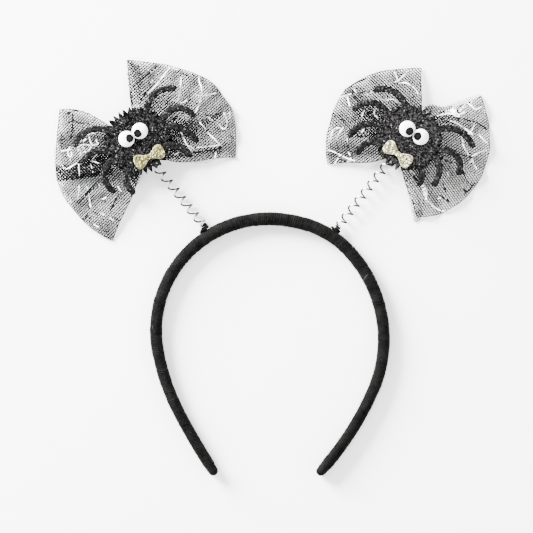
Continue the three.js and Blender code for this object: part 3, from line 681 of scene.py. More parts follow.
@dataclass
class Hoop:
    """Sprung band wound with ribbed cloth.

    Its width narrows to tip_share over taper millimetres before each tip and past_tip beyond it.
    """

    crown_width: float = 7.1
    tip_width: float = 5.9
    height: float = 6.6
    taper: float = 5.5
    past_tip: float = 2.5
    tip_share: float = 0.78
    rib_pitch: float = 1.15
    rib_depth: float = 0.75
    rib_power: float = 0.6
    rib_shift: int = 2
    rib_steps: int = 6
    swell: float = 0.55
    wander: float = 0.22
    wander_knots: int = 60
    uneven: float = 0.42
    fuzz: float = 0.45
    draws: int = 512
    sides: int = 42
    seed: int = 11

    def rings(self, run: ndarray) -> tuple[ndarray, ndarray, ndarray]:
        """Centres, outward directions and half widths at signed distances from the crown.

        Args:
            run: distances along the hoop, below 0 on the left arm; past a tip the section draws in to a dome.

        Returns:
            Points (count, 2), outward directions (count, 2) and half widths with half heights (count, 2).
        """
        parts = []
        for arm, chosen in ((LEFT_ARM, run < 0), (RIGHT_ARM, run >= 0)):
            far = np.abs(run[chosen])
            past = np.maximum(far - arm.length, 0)
            point, out, on = arm.at(np.minimum(far, arm.length))
            point = point + on * past[:, None]
            width = self.crown_width + (self.tip_width - self.crown_width) * np.minimum(far / arm.length, 1)
            width *= np.interp(arm.length - far, (-self.past_tip, self.taper), (self.tip_share, 1.0))
            size = np.sqrt(np.clip(1 - (past / (self.tip_width / 2)) ** 2, 0.0004, 1))
            parts.append((point, out, np.stack([width / 2 * size, self.height / 2 * size], -1)))
        return tuple(np.concatenate(pair) for pair in zip(*parts))

    def shape(self) -> Shape:
        """Ribbed skin: the section's radius is drawn in by the rib depth where |sin(pi phase)| is small.

        phase counts ribs along the hoop and gains rib_shift ribs in a turn, so the ribs slant; it wanders a
        little. Each rib has its own height, and small random steps round it give the fuzzy edge.

        Returns:
            The closed shape, with the phase as the first part of its uv.
        """
        rng = np.random.default_rng(self.seed)
        low = -(LEFT_ARM.length + self.tip_width / 2)
        high = RIGHT_ARM.length + self.tip_width / 2
        count = int((high - low) / self.rib_pitch * self.rib_steps)
        run = np.linspace(low + 0.001, high - 0.001, count)
        centre, out, half = self.rings(run)
        a = circle(self.sides)
        knots = np.linspace(low, high, self.wander_knots)
        wander = np.interp(run, knots, rng.normal(0, self.wander, self.wander_knots))
        phase = (run / self.rib_pitch + wander)[:, None] + self.rib_shift * a[None] / (2 * np.pi)
        ridge = np.abs(np.sin(np.pi * phase)) ** self.rib_power
        rib = np.floor(phase).astype(int) % self.draws
        around = np.broadcast_to(np.arange(self.sides), rib.shape)
        height = 1 - self.uneven * rng.random(self.draws)[rib]
        height = height - self.fuzz * rng.random((self.draws, self.sides))[rib, around]
        inset = self.rib_depth * (1 - ridge * height) * np.minimum(half[:, :1] / half.max(), 1) - self.swell
        across = (half[:, :1] - inset) * np.cos(a)
        up = (half[:, 1:] - inset) * np.sin(a)
        plan = centre[:, None] + out[:, None] * across[..., None]
        made = skin(grid_of(plan[..., 0], plan[..., 1], np.maximum(self.height / 2 + up, 0)))
        row = np.rint(made.uv[:, 0] * (count - 1)).astype(int)
        made.uv = np.stack([phase[row, 0] + self.rib_shift * made.uv[:, 1], made.uv[:, 1]], -1)
        return facing_out(made)

    def build(self) -> None:
        """Writes the hoop."""
        write_piece("hoop_ribbed_cloth", self.shape(), CLOTH_BLACK.material(), ["headband"])


# Springs and lashings


@dataclass
class Spring:
    """One wire spring, its lashing and the thread wound round the hoop at its foot.

    foot is the arm's heading at its foot, lean its lean in degrees, reach its length from the hoop's surface
    and phase the share of a turn at which it starts. slant and tip lean the open turns over, as millimetres
    along the axis for each one across and each one up.
    """

    label: str
    arm: Arm
    foot: float
    lean: float
    reach: float
    phase: float
    slant: float
    crossed: bool
    wire: float = 1.0
    wire_sides: int = 10
    coil_radius: float = 2.15
    pitch: float = 5.72
    foot_radius: float = 0.95
    foot_pitch: float = 1.35
    foot_turns: float = 2.0
    hoop_half: float = 3.35
    standoff: float = 0.6
    end_gap: float = 6.65
    tip: float = 0.33
    ply_pitch: float = 1.6
    ply_depth: float = 0.14

    def axis(self) -> tuple[ndarray, ndarray, float]:
        """Start of the axis, its directions as rows (along, level, upright) and its length."""
        point, out, _ = (v[0] for v in self.arm.at(np.array([self.arm.run_at(self.foot)])))
        aim = turning(-self.arm.side * self.lean) @ out
        surface = point + out * self.hoop_half
        start = np.array([*(surface + aim * self.standoff), SPRING_FOOT_HEIGHT])
        end = np.array([*(surface + aim * (self.reach - self.end_gap)), SPRING_TOP_HEIGHT])
        along = unit(end - start)
        level = unit(np.cross(UP, along))
        return start, np.array([along, level, np.cross(along, level)]), float(np.linalg.norm(end - start))

    def helix(self, turn: ndarray, rise: ndarray, radius: ndarray, phase: float,
              slant: ndarray | float = 0.0, tip: ndarray | float = 0.0) -> ndarray:
        """Curve wound round the axis: rise along it, radius times cosine across it and radius times sine up.

        Args:
            turn: turn numbers.
            rise: distances along the axis.
            radius: distances from it.
            phase: share of a turn at which it starts.
            slant: axial run for each millimetre across.
            tip: axial run for each millimetre up.

        Returns:
            Points (count, 3).
        """
        start, frame, _ = self.axis()
        a = 2 * np.pi * (turn + phase)
        across, up = radius * np.cos(a), radius * np.sin(a)
        return start + np.stack([rise + slant * across + tip * up, across, up], -1) @ frame

    def coil(self) -> Shape:
        """Wire of the spring: close turns at the foot, open turns, and a drawn-in end.

        Over the turn after the close ones the pitch grows evenly, so the rise there is a parabola.

        Returns:
            The closed shape, with turns and spread as its uv.
        """
        _, frame, length = self.axis()
        easing = (self.foot_pitch + self.pitch) / 2
        turns = self.foot_turns + 1 + (length - self.foot_turns * self.foot_pitch - easing) / self.pitch
        turn = np.linspace(0, turns, int(turns * 40))
        eased = np.clip(turn - self.foot_turns, 0, 1)
        rise = (np.minimum(turn, self.foot_turns) * self.foot_pitch + self.foot_pitch * eased
                + (self.pitch - self.foot_pitch) * eased ** 2 / 2
                + self.pitch * np.maximum(0, turn - self.foot_turns - 1))
        opened = smooth(turn, self.foot_turns - 0.1, self.foot_turns + 0.7)
        spread = opened * (1 - smooth(turn, turns - 1, turns))
        radius = self.foot_radius + (self.coil_radius - self.foot_radius) * spread
        path = self.helix(turn, rise, radius, self.phase, self.slant * spread, self.tip * spread)
        made = tube(path, self.wire / 2, self.wire_sides, frame[0])
        row = np.rint(made.uv[:, 0] * (len(path) - 1)).astype(int)
        made.uv = np.stack([turn[row] + self.phase, spread[row]], -1)
        return made

    def thread(self, path: ndarray, thickness: float, beside: ndarray) -> Shape:
        """Two-ply thread along a path: its radius swells twice round as the ply turns along it."""
        sides = 8
        twist = circle(sides)[None] - run_along(path)[:, None] * 2 * np.pi / self.ply_pitch
        ply = 1 - self.ply_depth + self.ply_depth * np.abs(np.cos(twist))
        return tube(path, thickness / 2 * ply, sides, beside)

    def rings(self) -> Shape:
        """Level rings of thread round the foot, which step on from one to the next on the underside."""
        turns, radius, thickness = 2.9, 1.6, 1.0
        start, pitch, step_from, step_to = -0.15, 1.15, 0.6, 0.9
        beside_at, beside = (0, 1.5, 2.4), (-0.6, -0.7, 0.2)
        frame = self.axis()[1]
        turn = np.linspace(0, turns, 170)
        rise = start + pitch * (np.floor(turn) + smooth(turn % 1, step_from, step_to))
        path = self.helix(turn, rise, np.full(turn.shape, radius), 0.0)
        return self.thread(path + frame[1] * np.interp(turn, beside_at, beside)[:, None], thickness, frame[0])

    def crossing(self) -> Shape:
        """Crossed turns of thread on a leaning cone: two windings of opposite hand, narrower as they rise."""
        turns, thickness, tip = 3.3, 0.92, 0.17
        low, height, wide, narrowing, beside, lean = 0.25, 2.75, 2.6, 2.25, 1.08, 2.33
        frame = self.axis()[1]
        turn = np.linspace(0, turns, 210)
        share = turn / turns
        parts = []
        for hand, start in ((1, 0.1), (-1, 0.35)):
            path = self.helix(hand * turn, low + height * share, wide - narrowing * share, start, tip)
            path += frame[1] * (beside - lean * share)[:, None]
            parts.append(self.thread(path, thickness, frame[0]))
        return Shape.joined(parts)

    def collar(self) -> Shape:
        """Flat turns of thread along the hoop's outer side, round the spring's root: a long low ellipse."""
        offset, half_length = (2.5, 1.5) if self.crossed else (0.25, 2.65)
        turns, thickness, half_height, depth, pitch = 3, 0.62, 1.5, -0.2, 0.26
        start, frame, _ = self.axis()
        turn = np.linspace(0, turns, 240)
        a = 2 * np.pi * turn
        local = grid_of(depth + pitch * turn, offset + half_length * np.cos(a), half_height * np.sin(a))
        return self.thread(start + local @ frame, thickness, frame[0])

    def build(self, thread: Material, wire: Material) -> None:
        """Writes the spring, its lashing and the turns along the hoop."""
        lashing = self.crossing() if self.crossed else self.rings()
        write_piece(f"spring_wire_{self.label}", self.coil(), wire, [f"spring_{self.label}"])
        write_piece(f"lashing_thread_{self.label}", lashing, thread, [f"lashing_{self.label}"])
        write_piece(f"hoop_thread_{self.label}", self.collar(), thread)


# Net bows


class ClothLine(NamedTuple):
    """One line of the cloth from neck to rim: degrees, shares of the wing's reach and of the pleat height.

    puff bows the line sideways near the neck, belly bows it near the rim.
    """

    angle: float
    reach: float
    lift: float
    crest: float
    puff: float = 0.0
    belly: float = 0.0


class Fold(NamedTuple):
    """A folded place: how its second layer's rows turn, how full that layer is, and its outline in plan."""

    turn: float
    fill: float
    outline: tuple[tuple[float, float], ...]


def inside(points: ndarray, outline: ndarray) -> ndarray:
    """Tells which points (count, 2) lie in an outline: a ray towards +X crosses it an odd number of times."""
    here, there = outline, np.roll(outline, -1, axis=0)
    x, y = points[:, :1], points[:, 1:]
    spans = (here[:, 1] > y) != (there[:, 1] > y)
    rise = np.where(here[:, 1] == there[:, 1], 1, there[:, 1] - here[:, 1])
    crossing = here[:, 0] + (y - here[:, 1]) * (there[:, 0] - here[:, 0]) / rise
    return (spans & (x < crossing)).sum(1) % 2 == 1


@dataclass
class Wing:
    """One wing of a bow: cloth lines from its top to its bottom edge, and the smooth parts between its folds.

    Each part is the share of the wing at which it ends and the direction of the net's rows on it in degrees.
    The yarns' width goes to rim_fill times its full size at the rim.
    """

    side: int
    parts: tuple[tuple[float, float], ...]
    rim_fill: float
    lines: tuple[ClothLine, ...]
    flat_width: float = 100.0
    flat_depth: float = 50.0
    reach: float = 50.0
    pleat_height: float = 5.0
    rim_height: float = 0.45
    lowest: float = 0.35
    neck_length: float = 6.0
    gather: float = 10.0
    levels: int = 40
    places: int = 500

    def __post_init__(self) -> None:
        """Measures the wing: length across it at each level, and the place for each share of that length."""
        even = np.linspace(0, 1, self.places)
        share, level = np.meshgrid(even, np.linspace(0, 1, self.levels))
        steps = np.linalg.norm(np.diff(self.surface(share, level), axis=1), axis=2)
        length = np.concatenate([np.zeros((self.levels, 1)), np.cumsum(steps, axis=1)], axis=1)
        self.across = length[:, -1]
        self.inverse = np.stack([np.interp(even * row[-1], row, even) for row in length])

    def surface(self, share: ndarray, level: ndarray) -> ndarray:
        """Smooth cloth between the lines of the table.

        Along a line the plan runs straight from the neck to the rim, swelling sideways by puff times
        6.75 s (1 - s)^2 and belly times 6.75 s^2 (1 - s). The height falls from the neck to the surface it
        lies on, plus a lift of 1 - (1 - s)^4 and a crest of 6.75 s^2 (1 - s). Between lines each column of
        the table follows a Catmull-Rom curve.

        Args:
            share: place across the wing, 0 at the top edge and 1 at the bottom edge.
            level: s, 0 at the neck and 1 at the rim.

        Returns:
            Points with the arrays' shape and 3 coordinates.
        """
        table = np.array(self.lines)
        last = len(table) - 1
        i = np.clip((share * last).astype(int), 0, last - 1)
        t = (share * last - i)[..., None]
        before, here, there, after = (table[np.clip(i + k, 0, last)] for k in (-1, 0, 1, 2))
        row = here + 0.5 * t * (there - before + t * (2 * before - 5 * here + 4 * there - after
                                                      + t * (3 * (here - there) + after - before)))
        angle, reach, lift, crest, puff, belly = (row[..., k] for k in range(6))
        neck = np.full(share.shape, self.side * self.neck_length / 2)
        root = np.stack([neck, self.gather * (0.5 - share)], -1)
        heading = np.radians(angle)
        run = (reach * self.reach)[..., None] * np.stack([np.cos(heading), np.sin(heading)], -1) - root
        beside = unit(np.stack([-run[..., 1], run[..., 0]], -1))
        s = level
        swell = self.reach * PEAK * s * (1 - s) * (puff * (1 - s) + belly * s)
        plan = root + run * s[..., None] + beside * swell[..., None]
        z = (NECK_HEIGHT * (1 - s) + self.rim_height * s + lift * self.pleat_height * (1 - (1 - s) ** 4)
             + crest * self.pleat_height * PEAK * s * s * (1 - s))
        return np.concatenate([plan, np.maximum(z, self.lowest)[..., None]], -1)

    def drawn(self, s: ndarray) -> ndarray:
        """Width that the gathered net has at level s, as a share of its flat width."""
        return np.interp(s, np.linspace(0, 1, self.levels), self.across) / self.flat_width

    def lay(self, width: ndarray, depth: ndarray) -> ndarray:
        """Carries points of the flat cloth onto the wing, drawn together evenly across each level.

        Args:
            width: distance across the flat cloth from its top edge.
            depth: distance from the neck towards the rim.

        Returns:
            Points (count, 3) in the bow's frame.
        """
        s = np.clip(depth / self.flat_depth, 0, 1)
        row = s * (self.levels - 1)
        low = np.minimum(row.astype(int), self.levels - 2)
        mixed = row - low
        share = np.clip(width / self.flat_width, 0, 1) * (self.places - 1)
        left = np.minimum(share.astype(int), self.places - 2)
        part = share - left
        q = [self.inverse[r, left] * (1 - part) + self.inverse[r, left + 1] * part for r in (low, low + 1)]
        return self.surface(np.clip(q[0] * (1 - mixed) + q[1] * mixed, 0, 1), s)

    def outline(self, start: float, end: float) -> ndarray:
        """Outline in plan of a part: its first edge out, the rim without its folds, and its last edge back.

        Args:
            start: share of the wing at which the part begins.
            end: share at which it ends.

        Returns:
            Points (count, 2) in the bow's frame.
        """
        out, around = np.linspace(0, 1, 30), np.linspace(start, end, 240)
        rim = self.surface(around, np.ones(len(around)))[:, :2]
        turn = np.unwrap(np.arctan2(rim[:, 1], rim[:, 0]))
        turn = turn if turn[-1] > turn[0] else -turn
        rim = rim[turn >= np.maximum.accumulate(turn)]
        edges = [self.surface(np.full(len(out), share), out)[:, :2] for share in (start, end)]
        return np.vstack([edges[0], rim, edges[1][::-1]])


@dataclass
class TopMap:
    """Height of the topmost cloth on a square grid in plan, evened out, and -1 where no cloth lies."""

    points: ndarray
    step: float = 0.5
    margin: float = 3.0
    spread: int = 2
    bare_height: float = 0.5

    def __post_init__(self) -> None:
        """Fills the grid from the lowest point up, so the topmost stays, and averages five by five cells."""
        plan = self.points[:, :2]
        self.low = plan.min(0) - self.margin
        shape = tuple(((plan.max(0) + self.margin - self.low) / self.step).astype(int) + 1)
        heights = np.zeros(shape)
        order = np.argsort(self.points[:, 2], kind="stable")
        cells = ((plan[order] - self.low) / self.step).astype(int)
        heights[cells[:, 0], cells[:, 1]] = self.points[order, 2]
        filled = (heights > 0).astype(float)
        total, count = np.zeros(shape), np.zeros(shape)
        near = range(-self.spread, self.spread + 1)
        for move in [(across, up) for across in near for up in near]:
            total += np.roll(heights, move, (0, 1))
            count += np.roll(filled, move, (0, 1))
        mean = total / np.maximum(count, 1)
        self.heights = np.where(filled > 0, mean, -1.0)
        self.wide = np.where(count > 0, mean, self.bare_height)

    def at(self, plan: ndarray) -> ndarray:
        """Heights at points (count, 2) of the plan."""
        cells = ((plan - self.low) / self.step).astype(int)
        within = ((cells >= 0) & (cells < self.heights.shape)).all(1)
        cells = np.where(within[:, None], cells, 0)
        return np.where(within, self.heights[cells[:, 0], cells[:, 1]], -1.0)

    def between(self, plan: ndarray) -> ndarray:
        """Heights at points (count, 2) inside the grid, mixed from the four cells round each point."""
        place = np.clip((plan - self.low) / self.step - 0.5, 0, np.array(self.wide.shape) - 2.001)
        i, j = place.astype(int).T
        x, y = (place - place.astype(int)).T
        return ((self.wide[i, j] * (1 - x) + self.wide[i + 1, j] * x) * (1 - y)
                + (self.wide[i, j + 1] * (1 - x) + self.wide[i + 1, j + 1] * x) * y)


class WebLine(NamedTuple):
    """One line of a printed web: its full width and its points in plan."""

    width: float
    points: tuple[tuple[float, float], ...]

    def path(self, rng: np.random.Generator) -> ndarray:
        """At least eight points in even steps, moved a little at random and averaged with neighbours."""
        step, wander, near = 0.35, 0.2, 4
        knots = np.array(self.points)
        run = run_along(knots)
        line = resampled(knots, run, np.linspace(0, run[-1], max(8, int(run[-1] / step))))
        line = line + rng.normal(0, wander, line.shape)
        padded = np.pad(line, ((near, near), (0, 0)), mode="edge")
        mean = np.full(2 * near + 1, 1 / (2 * near + 1))
        return np.stack([np.convolve(padded[:, k], mean, mode="valid") for k in (0, 1)], -1)


@dataclass(frozen=True)
class NeckTape:
    """Soft tape round the gathered neck: a rounded oblong ring whose wall has a rounded section."""

    half_width: float = 2.45
    half_across: float = 5.72
    half_height: float = 1.2
    half_wall: float = 0.36
    oblong: float = 0.45
    wall_power: float = 0.5
    around: int = 72
    section: int = 20

    def grid(self) -> ndarray:
        """Points (around, section, 3) in the bow's frame, with slow waves in its width and puckers across."""
        a = circle(self.around)
        y, z = rounded(a, self.oblong)
        x, inward = rounded(circle(self.section), self.wall_power)
        wave, pucker = 0.03 * np.sin(5 * a), 0.12 * np.sin(9 * a)
        wall = self.half_wall * inward[None]
        return grid_of(self.half_width * x[None] * (1 + wave)[:, None],
                       y[:, None] * (self.half_across + pucker[:, None] + wall),
                       NECK_HEIGHT + z[:, None] * (self.half_height + wall))

    def quads(self) -> ndarray:
        """Faces of the ring, closed both ways."""
        here, column = np.arange(self.around)[:, None], np.arange(self.section)[None]
        there, beside = (here + 1) % self.around, (column + 1) % self.section
        corners = ((here, column), (here, beside), (there, beside), (there, column))
        return np.stack([row * self.section + place for row, place in corners], -1).reshape(-1, 4)


def waves(plan: ndarray) -> ndarray:
    """Small waves of the cloth at points (count, 2) of the plan: sines of 7 to 27 millimetres that cross."""
    x, y = plan.T
    return (np.sin(0.61 * x + 0.9 * np.sin(0.23 * y)) * np.sin(0.47 * y + 0.31 * x)
            + 0.6 * np.sin(0.83 * y - 0.37 * x + 2.0))


@dataclass
class NetBow:
    """Square of stiff net gathered at the middle into two wings, with webs printed in silver and black."""

    label: str
    middle: tuple[float, float]
    tilt: float
    wings: tuple[Wing, Wing]
    silver: tuple[WebLine, ...]
    ink: tuple[WebLine, ...]
    folds: tuple[Fold, ...]
    cell: float = 1.5
    row: float = 1.24
    pillar_share: float = 0.85
    yarn: float = 0.67
    pillar: float = 0.3
    knot: float = 0.04
    shortest: float = 0.02
    crumple: float = 0.22
    lowest: float = 0.42
    highest: float = 6.5
    gathered_depth: float = 18.0
    gathered_turn: float = 20.0
    gathered_width: float = 1.6
    thinnest: float = 0.25
    panel_start: float = 17.0
    rim_start: float = 46.0
    edge_width: float = 0.42
    edge_drop: float = 0.1
    edge_step: float = 0.8
    layer_drop: float = 0.45
    silver_worn: float = 0.12
    ink_worn: float = 0.15
    seed: int = 5

    def __post_init__(self) -> None:
        """Maps the topmost cloth of both wings."""
        share, level = np.meshgrid(np.linspace(0, 1, 900), np.linspace(0, 1, 240))
        wings = [wing.surface(share.ravel(), level.ravel()) for wing in self.wings]
        self.top = TopMap(self.to_row(np.vstack(wings)))

    @property
    def half_length(self) -> float:
        """Half of the flat cloth's length along the bow, the neck's half among it."""
        return self.wings[0].flat_depth + self.wings[0].neck_length / 2

    def to_row(self, points: ndarray) -> ndarray:
        """Turns and moves points from the bow's frame to the row frame."""
        placed = points.copy()
        placed[:, :2] = points[:, :2] @ turning(self.tilt).T + np.array(self.middle)
        return placed

    def away(self, plan: ndarray) -> ndarray:
        """Distance of points of the plan from the middle of the bow."""
        return np.linalg.norm(plan - np.array(self.middle), axis=1)

    def outline(self, wing: Wing, start: float = 0, end: float = 1) -> ndarray:
        """Outline of a part of a wing in the row frame, points (count, 2)."""
        return self.to_row(np.pad(wing.outline(start, end), ((0, 0), (0, 1))))[:, :2]

    def lay(self, flat: ndarray) -> ndarray:
        """Carries points of the flat cloth to their place: neck in the middle, a wing at each side.

        Args:
            flat: points (count, 2) along and across the flat cloth, from its middle.

        Returns:
            Points (count, 3) in the row frame.
        """
        left, right = self.wings
        half_neck = left.neck_length / 2
        across = left.flat_width / 2 - flat[:, 1]
        points = np.empty((len(flat), 3))
        neck = np.abs(flat[:, 0]) < half_neck
        gathered = left.gather * (0.5 - across[neck] / left.flat_width)
        points[neck] = grid_of(flat[neck, 0], gathered, NECK_HEIGHT)
        for wing, chosen in ((left, ~neck & (flat[:, 0] < 0)), (right, ~neck & (flat[:, 0] > 0))):
            points[chosen] = wing.lay(across[chosen], np.abs(flat[chosen, 0]) - half_neck)
        return self.to_row(points)

    def lattice(self, low: ndarray, high: ndarray, turn: float) -> Yarns:
        """Six-sided net over a box in a plane.

        Cells stand in rows, each half a cell beside the one before; each has one pillar up and two slanted
        yarns to the next row. The rows are turned about the middle of the box, and yarns whose middle is in
        the box are kept.

        Args:
            low: lowest corner of the box.
            high: highest corner of the box.
            turn: direction of the rows in degrees.

        Returns:
            Ends of each yarn, (count, 2) twice, and its width.
        """
        pillar = self.pillar_share * self.row
        reach = np.linalg.norm(high - low) / 2
        rows, columns = int(reach / self.row) + 1, int(reach / self.cell) + 1
        j, i = np.meshgrid(np.arange(-rows, rows + 1), np.arange(-columns, columns + 1), indexing="ij")
        base = np.stack([(i + 0.5 * (j % 2)) * self.cell, j * self.row], -1).reshape(-1, 2)
        top = base + [0, pillar]
        pairs = [(base, top, self.pillar), (top, top + [self.cell / 2, self.row - pillar], self.yarn),
                 (top, top + [-self.cell / 2, self.row - pillar], self.yarn)]
        spin = turning(turn)
        first, second = (np.vstack([p[k] for p in pairs]) @ spin.T + (low + high) / 2 for k in (0, 1))
        width = np.concatenate([np.full(len(p[0]), p[2]) for p in pairs])
        middle = (first + second) / 2
        kept = ((middle > low) & (middle < high)).all(1)
        return first[kept], second[kept], width[kept]

    def gathered(self) -> Yarns:
        """Yarns drawn together round the neck, with widths that fall as the net closes up.

        They stop under the spider's body, where the smooth panels begin.
        """
        wing = self.wings[0]
        corner = np.array([wing.neck_length / 2 + self.gathered_depth, wing.flat_width / 2])
        first, second, width = self.lattice(-corner, corner, self.gathered_turn)
        first, second = np.clip(first, -corner, corner), np.clip(second, -corner, corner)
        level = np.clip((np.abs(first[:, 0]) - wing.neck_length / 2) / wing.flat_depth, 0, 1)
        width = width * np.clip(self.gathered_width * wing.drawn(level), self.thinnest, 1)
        a, b = self.lay(first), self.lay(second)
        kept = self.away((a + b)[:, :2] / 2) < self.panel_start + 1
        return a[kept], b[kept], width[kept]

    def set_down(self, plan: ndarray, drop: float) -> ndarray:
        """Sets points (count, 2) down at a drop below the topmost cloth, with the cloth's small waves."""
        z = np.clip(self.top.between(plan) + self.crumple * waves(plan) - drop, self.lowest, self.highest)
        return np.concatenate([plan, z[:, None]], 1)

    def panel(self, outline: ndarray, turn: float, drop: float, rim_fill: float = 1.0) -> Yarns:
        """Yarns of a part of the cloth that lies smooth: a flat net in plan, set down on the wing.

        Args:
            outline: corners of the part in the row frame.
            turn: direction of the rows in degrees.
            drop: distance below the topmost cloth.
            rim_fill: share of the yarns' width at the rim.

        Returns:
            Ends (count, 3) twice, and widths.
        """
        first, second, width = self.lattice(outline.min(0), outline.max(0), turn)
        middle = (first + second) / 2
        away = self.away(middle)
        kept = (away > self.panel_start) & inside(middle, outline)
        width = width * np.interp(away, (self.panel_start, self.rim_start), (1.0, rim_fill))
        return self.set_down(first[kept], drop), self.set_down(second[kept], drop), width[kept]

    def edge(self, wing: Wing) -> Yarns:
        """Yarn along the cut edge of a wing, from the spider's body round the rim and back."""
        line = self.outline(wing)
        run = run_along(line)
        line = resampled(line, run, np.arange(0, run[-1], self.edge_step))
        points = self.set_down(line, self.edge_drop)
        kept = self.away(line)[1:] > self.panel_start
        return points[:-1][kept], points[1:][kept], np.full(int(kept.sum()), self.edge_width)

    def net(self) -> Shape:
        """Yarns of the net, each a three-sided prism from one knot to the next.

        Returns:
            A shape whose prisms are open at both ends, inside the knots.
        """
        parts = [self.gathered()]
        for wing in self.wings:
            start = 0.0
            for end, turn in wing.parts:
                parts.append(self.panel(self.outline(wing, start, end), turn, 0.0, wing.rim_fill))
                start = end
            parts.append(self.edge(wing))
        for fold in self.folds:
            a, b, width = self.panel(np.array(fold.outline), fold.turn, self.layer_drop)
            parts.append((a, b, width * fold.fill))
        a, b, width = (np.concatenate([part[k] for part in parts]) for k in range(3))
        along = b - a
        kept = np.linalg.norm(along, axis=1) > self.shortest
        a, b, along, width = a[kept], b[kept], unit(along[kept]), width[kept]
        across = unit(np.cross(along, UP) + 1e-9)
        up = np.cross(across, along)
        a, b = a - along * self.knot, b + along * self.knot
        corners = np.radians([90, 210, 330])
        radius = (width / math.sqrt(3))[:, None, None]
        ring = np.cos(corners)[None, :, None] * across[:, None] + np.sin(corners)[None, :, None] * up[:, None]
        points = np.concatenate([a[:, None] + radius * ring, b[:, None] + radius * ring], axis=1)
        faces = np.array([[0, 1, 4, 3], [1, 2, 5, 4], [2, 0, 3, 5]])
        quads = (np.arange(len(a)) * 6)[:, None, None] + faces
        return Shape(points.reshape(-1, 3), quads.reshape(-1, 4))

    def ribbons(self, line: ndarray, width: float, worn: float, rng: np.random.Generator) -> list[Shape]:
        """Ribbons of print along a line in plan, cut off where the cloth ends and where the print is worn.

        A ribbon's four rails are the line moved sideways by half its width, a hair over the topmost yarn.

        Args:
            line: points (count, 2) in the row frame.
            width: full width of the ribbon.
            worn: share of the line without print.
            rng: source of the uneven edges and the gaps.

        Returns:
            The runs of at least three points.
        """
        gap_step, blur, gap_over_yarn = 4, 5, 0.35
        lowest, highest, underside, top = 0.4, 6.6, 0.15, 0.25
        height = self.top.at(line)
        knots = np.arange(0, len(line) + gap_step, gap_step)
        printed = (height > 0) & (np.interp(np.arange(len(line)), knots, rng.random(len(knots))) > worn)
        cuts = np.flatnonzero(np.diff(printed)) + 1
        made = []
        for run, over, shown in zip(*(np.split(v, cuts) for v in (line, height, printed))):
            if len(run) < 3 or not shown[0]:
                continue
            over = np.minimum(np.maximum(over, lowest) + gap_over_yarn, highest)
            on = unit(np.gradient(run, axis=0))
            beside = np.stack([-on[:, 1], on[:, 0]], -1)
            uneven = rng.uniform(0.5, 1.5, len(run) + blur - 1)
            uneven = np.convolve(uneven, np.full(blur, 1 / blur), mode="valid")
            half = width / 2 * uneven[:, None]
            rails = [np.concatenate([run + beside * half * k, (over + up)[:, None]], 1)
                     for k, up in ((-1, top), (1, top), (1, underside), (-1, underside))]
            made.append(facing_out(skin(np.stack(rails, 1))))
        return made

    def print_lines(self, lines: Sequence[WebLine], worn: float) -> Shape:
        """Printed lines of one colour as ribbons on the topmost cloth."""
        rng = np.random.default_rng(self.seed)
        return Shape.joined([shape for line in lines
                             for shape in self.ribbons(line.path(rng), line.width, worn, rng)])

    def build(self, net: Material, silver: Material, ink: Material,
              tape: Material) -> None:
        cloth = write_piece(f"web_net_{self.label}", self.net(), net, [f"net_bow_{self.label}"],
                            flat_shaded=True)
        printed = [
            write_piece(f"web_{kind}_{self.label}", self.print_lines(lines, worn), finish,
                        flat_shaded=True)
            for kind, lines, worn, finish in (("silver", self.silver, self.silver_worn, silver),
                                              ("ink", self.ink, self.ink_worn, ink))
        ]
        neck = NeckTape()
        ring = Shape(self.to_row(neck.grid().reshape(-1, 3)), neck.quads())
        write_piece(f"neck_tape_{self.label}", facing_out(ring), tape, [f"neck_band_{self.label}"])


# Spiders, eyes and bow ties


class Leg(NamedTuple):
    """One leg: place of its root round the body and out from it, heading, length and turn over the length."""

    root: float
    out: float
    heading: float
    length: float
    turn: float


class Place(NamedTuple):
    """Place of a trim piece on the body, as shares of its radius, and its turn in degrees."""

    across: float
    up: float
    turn: float


@dataclass(frozen=True)
class Dome:
    """Low dome: a straight edge, then height times (1 - r^power), less a shallow dish in the middle."""

    radius: float
    edge: float
    height: float
    dish: float = 0.0
    power: float = 2.6
    sides: int = 64

    def at(self, across: float, up: float, base: float) -> Shape:
        """The closed dome with its middle at a place on the trim and its underside at the base."""
        out = np.linspace(0.01, 1, 26)
        top = self.edge + (self.height - self.edge) * (1 - out ** self.power)
        top = top - self.dish * (1 - smooth(out, 0.35, 0.7))
        r = np.concatenate([out, [1.0, 0.98, 0.5, 0.01]])[:, None]
        z = np.concatenate([top, [0.1, 0.0, 0.0, 0.0]])[:, None]
        a = circle(self.sides)
        return facing_out(skin(grid_of(
            across + self.radius * r * np.cos(a), up + self.radius * r * np.sin(a), base + z)))


